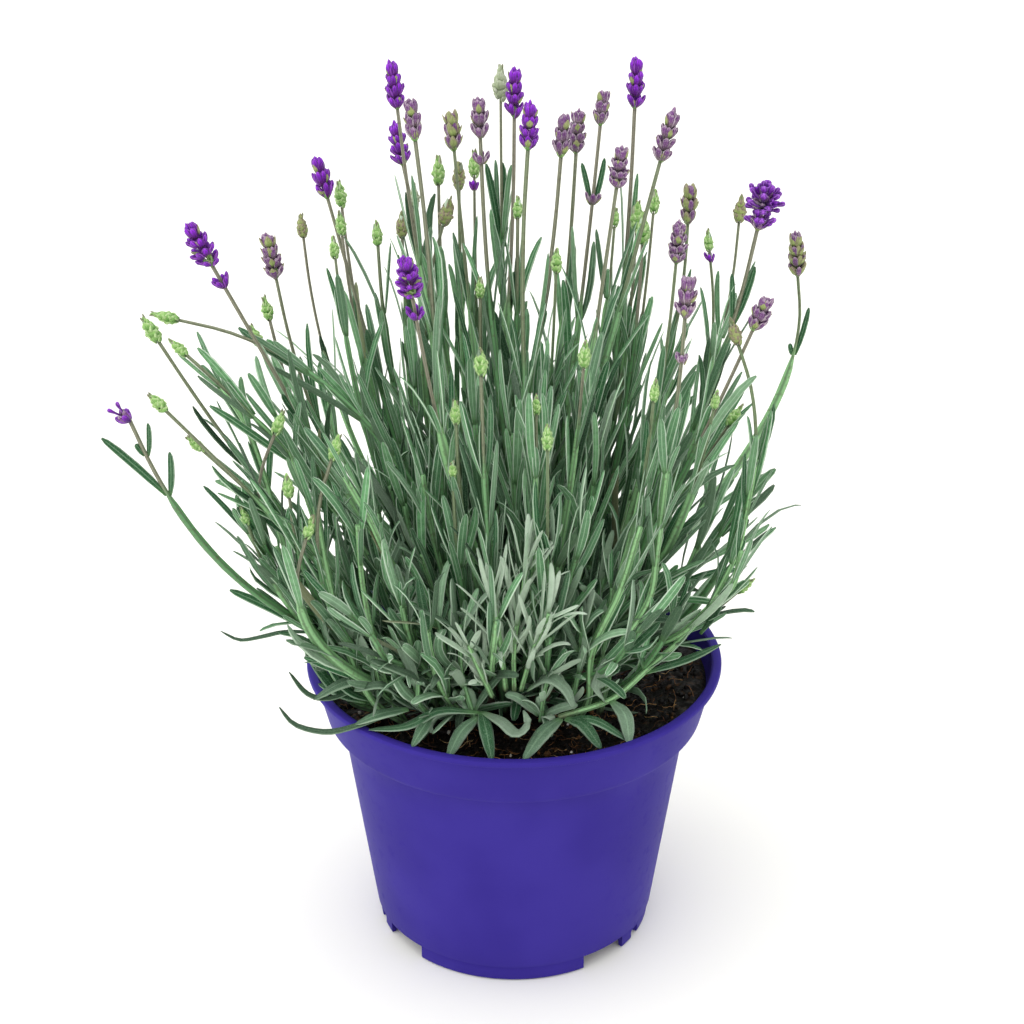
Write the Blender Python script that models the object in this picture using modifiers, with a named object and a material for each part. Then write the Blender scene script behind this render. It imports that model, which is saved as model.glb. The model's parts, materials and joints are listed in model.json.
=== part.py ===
"""Potted lavender: a bushy plant in flower, in the plastic nursery pot it was grown in.

Frame: metres, +Z up. The origin is the middle of the pot's base, on the surface it stands on.
-Y is the front of the plant, +X its right-hand side.
"""

import math

import bmesh
import bpy
import numpy as np
from mathutils import Matrix, Vector

MM = 0.001
SEAT = 0.3  # running gap between two pieces that touch, mm

# Pot, all in mm: a moulded shell with a plain rim band and a notched foot ring.
POT_HEIGHT = 122.0
LIP_RADIUS = 85.0
LIP_HEIGHT = 2.8
BAND_TOP_RADIUS = 82.4
BAND_FOOT_RADIUS = 77.6
BAND_HEIGHT = 23.0
BODY_TOP_RADIUS = 71.6
BODY_FOOT_RADIUS = 59.0
FOOT_RADIUS = 57.6
FOOT_HEIGHT = 6.8
POT_WALL = 1.4
FLOOR_UNDERSIDE = 5.0
PAD_RADIUS = 20.0
POT_SIDES = 48
NOTCH_TURN = -6.0  # degrees from the front that the foot's pattern is turned
NOTCHES = ((47, 22), (133, 22), (227, 22), (313, 22), (68, 6), (112, 6), (248, 6), (292, 6))
NOTCH_HEIGHT = 7.0
NOTCH_DEPTH = 5.0
DRAIN_DEPTH = 8.5  # the wide notches reach in under the floor's edge

# Soil
SOIL_TOP = 105.0

# Woody crown: a short stump and the branches that the green shoots rise from, mm.
STUMP_RADIUS = 12.0
STUMP_TOP = 118.0
BRANCH_RING = 30.0
BRANCH_COUNT = 8
BRANCH_TOP = 123.0
BRANCH_RADIUS = 5.0
SHOOT_SPACING = 3.2  # from a branch's centre line to each shoot that stands on it
SHOOTS_PER_BRANCH = 5

# Green stems, mm
STEM_FOOT_RADIUS = 1.3
STEM_TOP_RADIUS = 0.95
STEM_RINGS = 10
FAN = 0.25  # how far out a shoot starts, against how far out it ends
STEEPEST = 68.0  # most that a stem leans where it leaves the crown, degrees
STEM_PULL = 0.36  # how far along its reach each end of a stem keeps its own direction
SEATS_TRIED = 16  # how many of the nearest free places on the crown a shoot may stand on
STEM_ROOM = 3.4  # distance between two stems' centre lines that leaves them clear

# Flower stems: x, y, z of the top of the stem in mm, its lean outwards there in degrees,
# and the length, width and kind of the spike that it carries.
FLOWERS = (
    (-135, -80, 260, 32, 10, 7, "grey"),
    (-110, -30, 300, 25, 20, 11, "violet"),
    (-92, 15, 279, 8, 20, 8, "grey"),
    (-74, 50, 300, 18, 16, 9, "violet"),
    (-36, -60, 299, 14, 18, 11, "violet"),
    (-45, 40, 339, 8, 20, 8, "violet"),
    (-37, 10, 335, 7, 15, 7, "grey"),
    (-45, 75, 306, 24, 19, 9, "violet"),
    (-24, 65, 315, 15, 15, 7, "grey"),
    (-13, 30, 330, 4, 15, 8, "grey"),
    (0, 50, 333, 4, 21, 8, "violet"),
    (5, 5, 333, 6, 19, 8, "violet"),
    (18, 36, 321, 8, 16, 8, "grey"),
    (25, 75, 311, 9, 19, 8, "grey"),
    (34, 60, 327, 10, 13, 7, "grey"),
    (48, 70, 331, 2, 22, 8, "violet"),
    (38, 0, 320, 7, 17, 8, "grey"),
    (56, 30, 321, 16, 22, 9, "grey"),
    (70, 60, 286, 0, 16, 7, "grey"),
    (62, 12, 286, 3, 18, 8, "grey"),
    (61, -50, 287, 2, 16, 8, "grey"),
    (94, 25, 295, 10, 19, 17, "open"),
    (119, 85, 255, -16, 22, 8, "grey"),
    (89, -20, 271, 20, 14, 8, "grey"),
)
SPIKE_SIDES = 8
SPIKE_FOOT_RADIUS = 1.2
# Half widths of a spike up its length, both as shares: three whorls of flowers and a tip.
WHORLS = ((0.30, 0.96), (0.42, 0.82), (0.33, 0.70), (0.50, 0.54), (0.37, 0.40), (0.47, 0.24))

# Leafy shoots without flowers: x, y, z of the tip in mm, lean there, pairs of leaves.
SHOOTS = (
    (-108, -50, 205, 20, 6),
    (-62, -84, 190, 25, 5),
    (-8, -82, 185, 15, 5),
    (48, -84, 185, 25, 5),
    (98, -52, 200, 20, 6),
    (112, 22, 210, 15, 6),
    (70, 98, 215, 20, 6),
    (-12, 112, 220, 15, 6),
    (-84, 80, 215, 20, 6),
)
LEAF_LENGTH = 36.0
LEAF_WIDTH = 4.0
LEAF_THICKNESS = 0.9
LEAF_SPREAD = 38.0  # angle between a leaf and its stem, degrees
LEAF_CURL = 14.0  # how much a leaf turns back up by its tip, degrees
LEAF_STEPS = 3
LOWEST_PAIR = 0.22  # share of the shoot's length below its lowest pair of leaves
HIGHEST_PAIR = 0.96
LEAF_STALK = 5.0  # the first stretch of a leaf, which is within its own stem or beside it
LEAF_ROOM = 1.2  # least distance kept between a leaf and another stem or leaf

COLOURS = {
    "pot": ((0.075, 0.042, 0.36), 0.42),
    "soil": ((0.028, 0.017, 0.011), 0.95),
    "bark": ((0.16, 0.11, 0.07), 0.85),
    "stem": ((0.22, 0.27, 0.13), 0.6),
    "leaf": ((0.11, 0.19, 0.12), 0.65),
    "violet": ((0.20, 0.03, 0.52), 0.55),
    "grey": ((0.22, 0.12, 0.26), 0.6),
    "open": ((0.16, 0.02, 0.55), 0.5),
}


def clear_scene():
    for thing in list(bpy.data.objects):
        bpy.data.objects.remove(thing, do_unlink=True)


def new_collection(name, parent=None):
    group = bpy.data.collections.new(name)
    (parent or bpy.context.scene.collection).children.link(group)
    return group


def material(name):
    made = bpy.data.materials.get(name)
    if made:
        return made
    colour, roughness = COLOURS[name]
    made = bpy.data.materials.new(name)
    made.use_nodes = True
    shader = made.node_tree.nodes["Principled BSDF"]
    shader.inputs["Base Color"].default_value = (*colour, 1.0)
    shader.inputs["Roughness"].default_value = roughness
    shader.inputs["Metallic"].default_value = 0.0
    return made


def place(name, mesh, group, finish=None):
    """An object of this mesh in this collection. One with no finish is a helper."""
    thing = bpy.data.objects.new(name, mesh)
    group.objects.link(thing)
    if finish:
        mesh.materials.append(material(finish))
    else:
        thing.hide_render = True
        thing.display_type = "WIRE"
    return thing


def smooth(mesh, angle=40.0):
    mesh.shade_smooth()
    mesh.set_sharp_from_angle(angle=math.radians(angle))


def turned(name, outline, sides, group, finish=None):
    """A solid of revolution about Z. The outline is (radius, height) in mm, outer side downwards."""
    mesh = bpy.data.meshes.new(name)
    points = [(r * MM, 0.0, z * MM) for r, z in outline]
    edges = [(i, i + 1) for i in range(len(points) - 1)]
    mesh.from_pydata(points, edges, [])
    thing = place(name, mesh, group, finish)
    screw = thing.modifiers.new("turn", "SCREW")
    screw.axis = "Z"
    screw.angle = math.tau
    screw.steps = sides
    screw.render_steps = sides
    screw.use_merge_vertices = True
    screw.merge_threshold = 0.00001
    return thing


def tube(name, points, radii, group, finish=None, resolution=1):
    """A capped tube along these points (mm), as a mesh."""
    curve = bpy.data.curves.new(name, "CURVE")
    curve.dimensions = "3D"
    curve.bevel_depth = MM
    curve.bevel_resolution = resolution
    curve.use_fill_caps = True
    spline = curve.splines.new("POLY")
    spline.points.add(len(points) - 1)
    for knot, point, radius in zip(spline.points, points, radii):
        knot.co = (*(np.asarray(point) * MM), 1.0)
        knot.radius = radius
    guide = bpy.data.objects.new(name + "_route", curve)
    group.objects.link(guide)
    graph = bpy.context.evaluated_depsgraph_get()
    mesh = bpy.data.meshes.new_from_object(guide.evaluated_get(graph))
    mesh.name = name
    bpy.data.objects.remove(guide, do_unlink=True)
    shape = bmesh.new()
    shape.from_mesh(mesh)
    bmesh.ops.remove_doubles(shape, verts=shape.verts, dist=0.00001)
    shape.to_mesh(mesh)
    shape.free()
    smooth(mesh)
    return place(name, mesh, group, finish)


def boolean(thing, operation, group):
    """Joins or cuts the thing with every solid of a collection."""
    modifier = thing.modifiers.new(operation.lower(), "BOOLEAN")
    modifier.operation = operation
    modifier.operand_type = "COLLECTION"
    modifier.collection = group
    modifier.solver = "EXACT"


def leaning(outwards, degrees):
    """The unit direction that leans this far from upright, towards the outwards heading."""
    lean = math.radians(degrees)
    flat = np.array([outwards[0], outwards[1], 0.0])
    flat = flat / max(np.linalg.norm(flat), 1e-6)
    return flat * math.sin(lean) + np.array([0.0, 0.0, math.cos(lean)])


# ---------------------------------------------------------------- pot and soil


def pot_outline():
    """From the middle of the floor's upper side, up the inside, over the lip and down the outside."""
    band_foot = POT_HEIGHT - BAND_HEIGHT
    lip_under = POT_HEIGHT - LIP_HEIGHT
    floor_top = FLOOR_UNDERSIDE + POT_WALL
    inside = [
        (0.0, POT_WALL),
        (PAD_RADIUS, POT_WALL),
        (PAD_RADIUS + 5.0, floor_top),
        (BODY_FOOT_RADIUS - POT_WALL - 1.6, floor_top),
        (BODY_FOOT_RADIUS - POT_WALL, floor_top + 2.0),
        (BODY_TOP_RADIUS - POT_WALL, band_foot + 0.4),
        (BAND_FOOT_RADIUS - POT_WALL, band_foot + 1.6),
        (BAND_TOP_RADIUS - POT_WALL, POT_HEIGHT - 0.8),
    ]
    lip = [
        (BAND_TOP_RADIUS - POT_WALL + 0.8, POT_HEIGHT),
        (LIP_RADIUS - 0.8, POT_HEIGHT),
        (LIP_RADIUS, POT_HEIGHT - 0.8),
        (LIP_RADIUS, lip_under + 0.6),
        (LIP_RADIUS - 0.6, lip_under),
        (BAND_TOP_RADIUS, lip_under),
    ]
    outside = [
        (BAND_FOOT_RADIUS, band_foot + 1.0),
        (BAND_FOOT_RADIUS - 1.0, band_foot),
        (BODY_TOP_RADIUS, band_foot - 1.2),
        (BODY_FOOT_RADIUS, FOOT_HEIGHT + 0.6),
        (FOOT_RADIUS + 0.4, FOOT_HEIGHT),
        (FOOT_RADIUS, 0.8),
        (FOOT_RADIUS - 0.8, 0.0),
        (FOOT_RADIUS - 2.2, 0.0),
        (FOOT_RADIUS - 2.6, FLOOR_UNDERSIDE),
        (PAD_RADIUS + 5.6, FLOOR_UNDERSIDE),
        (PAD_RADIUS + 0.6, 0.0),
        (0.0, 0.0),
    ]
    return inside + lip + outside


def notch_cutter(heading, width, group):
    """A block across the foot ring. The wide ones also cut the floor's edge, which lets water out."""
    wide = width > 10
    deep = DRAIN_DEPTH if wide else NOTCH_DEPTH
    top = NOTCH_HEIGHT if wide else NOTCH_HEIGHT - 3.0
    shape = bmesh.new()
    bmesh.ops.create_cube(shape, size=1.0)
    across = 2 * FOOT_RADIUS * math.sin(math.radians(width / 2))
    size = Matrix.Diagonal(((deep + 4) * MM, across * MM, (top + 2) * MM, 1.0))
    centre = Matrix.Translation(((FOOT_RADIUS + 2 - deep / 2) * MM, 0.0, (top - 2) / 2 * MM))
    turn = Matrix.Rotation(math.radians(heading + NOTCH_TURN - 90), 4, "Z")
    bmesh.ops.transform(shape, matrix=turn @ centre @ size, verts=shape.verts)
    mesh = bpy.data.meshes.new("notch")
    shape.to_mesh(mesh)
    shape.free()
    place("notch_cutter", mesh, group)


def make_pot(parts, helpers):
    pot = turned("pot", pot_outline(), POT_SIDES, parts, "pot")
    notches = new_collection("pot_notches", helpers)
    for heading, width in NOTCHES:
        notch_cutter(heading, width, notches)
    boolean(pot, "DIFFERENCE", notches)


def make_soil(parts):
    """The root ball fills the pot to 17 mm below the rim, and its floor down into the middle pad."""
    inner_top = BODY_TOP_RADIUS - POT_WALL
    band_foot = POT_HEIGHT - BAND_HEIGHT
    floor = FLOOR_UNDERSIDE + POT_WALL + SEAT
    slope = (BAND_TOP_RADIUS - BAND_FOOT_RADIUS) / (BAND_HEIGHT - 2.4)
    edge = BAND_FOOT_RADIUS - POT_WALL + slope * (SOIL_TOP - 2.0 - band_foot - 1.6) - 2 * SEAT
    outline = [
        (0.0, SOIL_TOP),
        (edge - 14.0, SOIL_TOP),
        (edge - 3.0, SOIL_TOP - 0.8),
        (edge, SOIL_TOP - 2.4),
        (BAND_FOOT_RADIUS - POT_WALL - 2 * SEAT, band_foot + 2.2),
        (inner_top - 2 * SEAT, band_foot + 0.9),
        (BODY_FOOT_RADIUS - POT_WALL - 2 * SEAT, floor + 2.4),
        (BODY_FOOT_RADIUS - POT_WALL - 2.6, floor),
        (PAD_RADIUS + 5.0 - SEAT, floor),
        (PAD_RADIUS - 2 * SEAT, POT_WALL + SEAT),
        (0.0, POT_WALL + SEAT),
    ]
    turned("soil", outline, POT_SIDES, parts, "soil")


# ---------------------------------------------------------------- woody crown


def branch_ends():
    """Where the crown's branches end: one in the middle and a ring of them."""
    ends = [(0.0, 0.0)]
    for i in range(BRANCH_COUNT):
        heading = math.tau * (i + 0.5) / BRANCH_COUNT - math.pi / 2
        ends.append((BRANCH_RING * math.cos(heading), BRANCH_RING * math.sin(heading)))
    return ends


def make_crown(parts, helpers):
    stump_foot = SOIL_TOP + SEAT
    outline = [
        (0.0, STUMP_TOP),
        (STUMP_RADIUS * 0.7, STUMP_TOP),
        (STUMP_RADIUS, STUMP_TOP - 4.0),
        (STUMP_RADIUS * 0.9, stump_foot + 4.0),
        (STUMP_RADIUS * 1.15, stump_foot),
        (0.0, stump_foot),
    ]
    crown = turned("woody_crown", outline, 12, parts, "bark")
    branches = new_collection("crown_branches", helpers)
    for i, (x, y) in enumerate(branch_ends()):
        route = [
            (0.15 * x, 0.15 * y, STUMP_TOP - 5.0),
            (0.55 * x, 0.55 * y, STUMP_TOP - 3.5),
            (0.88 * x, 0.88 * y, STUMP_TOP - 1.5),
            (x, y, STUMP_TOP + 2.0),
            (x, y, BRANCH_TOP),
        ]
        width = [0.8 * BRANCH_RADIUS] * 2 + [0.9 * BRANCH_RADIUS] + [BRANCH_RADIUS] * 2
        if i == 0:
            route = [(0.0, 0.0, STUMP_TOP - 6.0), (0.0, 0.0, BRANCH_TOP)]
            width = [BRANCH_RADIUS] * 2
        tube(f"branch_{i}", route, width, branches, resolution=2)
    boolean(crown, "UNION", branches)


def shoot_seats():
    """The places on the branch ends that a shoot can stand on."""
    seats = []
    for x, y in branch_ends():
        for k in range(SHOOTS_PER_BRANCH):
            turn = math.tau * (k + 0.5) / SHOOTS_PER_BRANCH + math.atan2(y, x)
            seats.append((x + SHOOT_SPACING * math.cos(turn), y + SHOOT_SPACING * math.sin(turn)))
    return seats


# ---------------------------------------------------------------- stems


def stem_route(seat, tip, lean):
    """A smooth path up from the crown: it fans out low down and ends at the given lean."""
    tip = np.array(tip, float)
    foot = np.array([*seat, BRANCH_TOP + SEAT])
    start = foot + np.array([0.0, 0.0, 2.5])
    out = tip[:2] - start[:2]
    chord = math.degrees(math.atan2(np.linalg.norm(out), tip[2] - start[2]))
    reach = np.linalg.norm(tip - start)
    low = start + leaning(out, min(2 * chord - lean, STEEPEST)) * STEM_PULL * reach
    high = tip - leaning(tip[:2], lean) * STEM_PULL * reach
    path = [foot]
    for i in range(STEM_RINGS):
        t = i / (STEM_RINGS - 1)
        u = 1 - t
        path.append(u**3 * start + 3 * u * u * t * low + 3 * u * t * t * high + t**3 * tip)
    return np.array(path)


def fine_points(path, step=2.0):
    """The same path with a point at least every step."""
    points = []
    for a, b in zip(path[:-1], path[1:]):
        count = max(1, math.ceil(np.linalg.norm(b - a) / step))
        points += [a + (b - a) * k / count for k in range(count)]
    return np.array(points + [path[-1]])


def gap_between(first, second):
    """The least distance between two rows of points."""
    return np.linalg.norm(first[:, None, :] - second[None, :, :], axis=2).min()


def stand_shoots(tips, leans):
    """Stands every shoot on the free seat nearest its heading from which it clears those already there."""
    free = shoot_seats()
    routes = {}
    standing = []
    for i in sorted(range(len(tips)), key=lambda i: -math.hypot(tips[i][0], tips[i][1])):
        wish = (FAN * tips[i][0], FAN * tips[i][1])
        tried = []
        for seat in sorted(free, key=lambda s: math.dist(s, wish))[:SEATS_TRIED]:
            route = stem_route(seat, tips[i], leans[i])
            fine = fine_points(route)
            room = min([gap_between(fine, other) for other in standing], default=STEM_ROOM)
            tried.append((min(room, STEM_ROOM), -math.dist(seat, wish), seat, route, fine))
        best = max(tried, key=lambda each: each[:2])
        free.remove(best[2])
        routes[i] = best[3]
        standing.append(best[4])
    return [routes[i] for i in range(len(tips))]


def stem_radii(count):
    taper = (STEM_TOP_RADIUS - STEM_FOOT_RADIUS) / (count - 1)
    return [STEM_FOOT_RADIUS + taper * i for i in range(count)]


def make_spike(name, route, length, width, kind, parts):
    """A flower spike stands on the end of its stem, in line with it."""
    along = route[-1] - route[-2]
    along = along / np.linalg.norm(along)
    foot = min(SPIKE_FOOT_RADIUS, 0.3 * width)
    outline = [(0.0, length)]
    outline += [(share * width, up * length) for share, up in WHORLS]
    outline += [(foot, 0.05 * length), (foot, 0.0), (0.0, 0.0)]
    spike = turned(name, outline, SPIKE_SIDES, parts, kind)
    spike.location = Vector((route[-1] + along * SEAT) * MM)
    spike.rotation_mode = "QUATERNION"
    spike.rotation_quaternion = Vector((0, 0, 1)).rotation_difference(Vector(along))


# ---------------------------------------------------------------- leafy shoots


def leaf_path(node, along, turn, share):
    """Points from one leaf's tip, through the stem, to the opposite leaf's tip, and the width direction."""
    side = np.cross(along, [0.0, 0.0, 1.0] if abs(along[2]) < 0.9 else [0.0, 1.0, 0.0])
    side = side / np.linalg.norm(side)
    other = np.cross(along, side)
    out = side * math.cos(turn) + other * math.sin(turn)
    points = []
    for i in range(-LEAF_STEPS, LEAF_STEPS + 1):
        reach = abs(i) / LEAF_STEPS
        angle = math.radians(LEAF_SPREAD - LEAF_CURL * reach)
        length = reach * share * LEAF_LENGTH
        sign = (i > 0) - (i < 0)
        points.append(node + out * sign * length * math.sin(angle) + along * length * math.cos(angle))
    return np.array(points), np.cross(along, out)


def outer_points(points):
    """The pair's middle lines, apart from the stretch that lies within its own stem."""
    fine = fine_points(points)
    return fine[np.linalg.norm(fine - points[LEAF_STEPS], axis=1) > LEAF_STALK]


def room_left(points, taken):
    """The least distance from a pair of leaves to what already stands there."""
    return gap_between(outer_points(points), taken)


def roomiest_pair(node, along, share, first_turn, taken):
    """Turns a pair of leaves about its stem to where it has the most room, and shortens it if it must."""
    need = LEAF_WIDTH / 2 + STEM_FOOT_RADIUS + LEAF_ROOM
    for shorter in (1.0, 0.8, 0.6, 0.45):
        best = None
        for step in range(12):
            points, across = leaf_path(node, along, first_turn + step * math.pi / 12, share * shorter)
            room = room_left(points, taken)
            if best is None or room > best[0]:
                best = (room, points, across)
        if best[0] >= need:
            return best[1], best[2]
    return None


def leaf_blade(name, points, across, group):
    """One blade with a leaf either side of the stem: a strip of faces given its thickness by Solidify."""
    steps = len(points) - 1
    shape = bmesh.new()
    bmesh.ops.create_grid(shape, x_segments=steps, y_segments=1, size=0.5)
    for corner in shape.verts:
        i = round((corner.co.x + 0.5) * steps)
        reach = abs(2 * i / steps - 1)
        half = LEAF_WIDTH / 2 * (0.12 + 0.88 * math.sin(math.pi * min(1.0, 0.25 + 0.75 * reach)) ** 0.8)
        side = 1 if corner.co.y > 0 else -1
        corner.co = Vector((points[i] + across * side * half) * MM)
    mesh = bpy.data.meshes.new(name)
    shape.to_mesh(mesh)
    shape.free()
    blade = place(name, mesh, group)
    shell = blade.modifiers.new("thickness", "SOLIDIFY")
    shell.thickness = LEAF_THICKNESS * MM
    shell.offset = 0.0


def leaf_share(spot):
    """The leaves are longest half way up a shoot, and shortest at its tip."""
    return 0.75 + 0.5 * math.sin(math.pi * spot) - 0.25 * spot


def make_shoot(name, route, pairs, taken, parts, helpers):
    """A leafy shoot: the stem and its opposite pairs of leaves, grown as one piece."""
    stem = tube(name, route, stem_radii(len(route)), parts, "leaf")
    blades = new_collection(name + "_leaves", helpers)
    placed = []
    for k in range(pairs):
        spot = LOWEST_PAIR + (HIGHEST_PAIR - LOWEST_PAIR) * k / (pairs - 1)
        i = spot * (len(route) - 1)
        low = min(int(i), len(route) - 2)
        node = route[low] + (route[low + 1] - route[low]) * (i - low)
        along = route[low + 1] - route[low]
        along = along / np.linalg.norm(along)
        share = leaf_share(spot)
        pair = roomiest_pair(node, along, share, k * math.pi / 2, np.concatenate(taken + placed))
        if pair is None:
            continue
        leaf_blade(f"{name}_pair_{k}", *pair, blades)
        placed.append(outer_points(pair[0]))
    boolean(stem, "UNION", blades)
    return placed


def make_plant(parts, helpers):
    tips = [row[:3] for row in FLOWERS] + [row[:3] for row in SHOOTS]
    leans = [row[3] for row in FLOWERS] + [row[3] for row in SHOOTS]
    routes = stand_shoots(tips, leans)
    for i, (row, route) in enumerate(zip(FLOWERS, routes), 1):
        tube(f"flower_stem_{i:02d}", route, stem_radii(len(route)), parts, "stem")
        make_spike(f"flower_spike_{i:02d}", route, *row[4:], parts)
    standing = [fine_points(route) for route in routes]
    leaves = []
    for i, row in enumerate(SHOOTS):
        own = len(FLOWERS) + i
        taken = standing[:own] + standing[own + 1 :] + leaves
        leaves += make_shoot(f"leafy_shoot_{i + 1}", routes[own], row[4], taken, parts, helpers)


def main():
    clear_scene()
    parts = new_collection("potted_lavender")
    helpers = new_collection("cutters")
    make_pot(parts, helpers)
    make_soil(parts)
    make_crown(parts, helpers)
    make_plant(parts, helpers)


main()
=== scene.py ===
# %% [markdown]
# # A lavender in its nursery pot
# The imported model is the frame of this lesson: a pot, its soil, a woody crown, 24 flower stems
# with their spikes, and nine leafy shoots. It has the right places and sizes, and plain shapes.
# Here each of them gets the shape and the finish of the living plant. Everything is in metres,
# +Z is up, and -Y is the front.

# %% Load the frame
import json
import math

import bmesh
import bpy
import numpy as np
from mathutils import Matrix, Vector, noise


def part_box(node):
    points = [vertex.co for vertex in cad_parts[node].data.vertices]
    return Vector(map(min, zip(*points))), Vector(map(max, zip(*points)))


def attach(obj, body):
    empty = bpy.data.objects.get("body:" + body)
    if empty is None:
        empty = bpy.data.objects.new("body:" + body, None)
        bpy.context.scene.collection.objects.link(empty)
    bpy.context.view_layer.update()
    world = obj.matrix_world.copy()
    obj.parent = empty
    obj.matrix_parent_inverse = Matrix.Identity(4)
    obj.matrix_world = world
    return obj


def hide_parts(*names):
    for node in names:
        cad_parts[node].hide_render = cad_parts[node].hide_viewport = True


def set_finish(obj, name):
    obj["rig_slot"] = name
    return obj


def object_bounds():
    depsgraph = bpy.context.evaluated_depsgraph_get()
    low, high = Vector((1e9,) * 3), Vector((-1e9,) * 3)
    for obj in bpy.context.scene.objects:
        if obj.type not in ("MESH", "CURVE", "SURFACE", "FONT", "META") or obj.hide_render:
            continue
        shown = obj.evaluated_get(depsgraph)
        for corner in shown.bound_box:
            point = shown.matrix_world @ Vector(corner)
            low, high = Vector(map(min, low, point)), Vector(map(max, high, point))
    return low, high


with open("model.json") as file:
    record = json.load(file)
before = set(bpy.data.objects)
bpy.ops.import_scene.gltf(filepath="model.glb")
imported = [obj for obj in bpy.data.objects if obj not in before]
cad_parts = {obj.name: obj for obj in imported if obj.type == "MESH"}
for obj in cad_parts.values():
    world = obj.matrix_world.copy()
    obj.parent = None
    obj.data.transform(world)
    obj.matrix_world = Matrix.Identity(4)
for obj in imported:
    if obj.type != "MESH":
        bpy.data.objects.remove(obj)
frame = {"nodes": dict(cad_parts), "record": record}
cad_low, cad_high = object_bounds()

MM = 0.001
half_width = (cad_high.x - cad_low.x) / 2
_, pot_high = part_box("pot")
_, soil_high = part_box("soil")
_, crown_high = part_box("woody_crown")
plant_height = cad_high.z - soil_high.z
print(f"plant {2 * half_width * 1000:.0f} mm wide, {plant_height * 1000:.0f} mm tall above its soil")

# %% [markdown]
# ## Hand tools
# An operator works on everything that is selected, so each new piece starts from an empty
# selection. A turned piece is a circle whose cap is extruded and resized, ring by ring, along
# an outline of (radius, height) pairs, which is how a potter would raise it.


# %% Small helpers for modelling
def start_clean():
    if bpy.context.object and bpy.context.object.mode != "OBJECT":
        bpy.ops.object.mode_set(mode="OBJECT")
    bpy.ops.object.select_all(action="DESELECT")


def only(thing):
    """Makes this the one selected object."""
    start_clean()
    thing.select_set(True)
    bpy.context.view_layer.objects.active = thing


def edit_all():
    """Into edit mode, with every corner selected."""
    bpy.ops.object.mode_set(mode="EDIT")
    bpy.ops.mesh.select_all(action="SELECT")


def pick(test):
    """In edit mode, selects the corners whose place passes the test."""
    shape = bmesh.from_edit_mesh(bpy.context.object.data)
    bpy.ops.mesh.select_all(action="DESELECT")
    for corner in shape.verts:
        corner.select = test(corner.co)
    shape.select_flush_mode()
    bmesh.update_edit_mesh(bpy.context.object.data)


def squeeze(wide, deep, height=0):
    """Resizes what is selected about the axis, at that height."""
    bpy.ops.transform.resize(value=(wide, deep, 1), center_override=(0, 0, height))


def extrude_to(rise, grow, height):
    """Draws the selected cap up by rise, then resizes it about the axis at that height."""
    bpy.ops.mesh.extrude_region_move(TRANSFORM_OT_translate={"value": (0, 0, rise)})
    squeeze(grow, grow, height)


def raise_rings(outline):
    """Extrudes the selected cap through the rest of an outline of (radius, height) pairs."""
    for (radius, height), (wider, higher) in zip(outline[:-1], outline[1:]):
        extrude_to(higher - height, wider / radius, higher)


def close_up():
    """Faces out, then back to object mode."""
    bpy.ops.mesh.select_all(action="SELECT")
    bpy.ops.mesh.normals_make_consistent(inside=False)
    bpy.ops.object.mode_set(mode="OBJECT")


def disc(name, sides, radius, height=0.0):
    """A flat capped circle, the start of every drawn piece."""
    start_clean()
    bpy.ops.mesh.primitive_circle_add(
        vertices=sides, radius=radius, fill_type="NGON", location=(0, 0, height)
    )
    thing = bpy.context.object
    thing.name = name
    bpy.ops.object.transform_apply(location=True, rotation=False, scale=False)
    return thing


def turned_piece(name, outline, sides):
    """A closed turned solid: its first and last rings are capped."""
    thing = disc(name, sides, *outline[0])
    edit_all()
    raise_rings(outline)
    close_up()
    return thing


def shade(thing, degrees):
    only(thing)
    bpy.ops.object.shade_smooth_by_angle(angle=math.radians(degrees))


def hand_over(thing, slot, *nodes):
    """The piece rides on the plant's one body, takes a slot, and stands for these nodes."""
    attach(thing, "root")
    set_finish(thing, slot)
    if nodes:
        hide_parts(*nodes)


# %% [markdown]
# ## Nodes for the finishes
# Every finish is a Principled shader with a colour that varies at two scales, and a fine bump.
# Patterns that sit still in space, such as mottling and grain, read Object coordinates. Those
# that follow a leaf or a petal read two attributes that the growing cells below write: "grow"
# holds the place across and along the piece and which side it is, and "tint" holds how this
# leaf differs from its neighbours.


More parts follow.
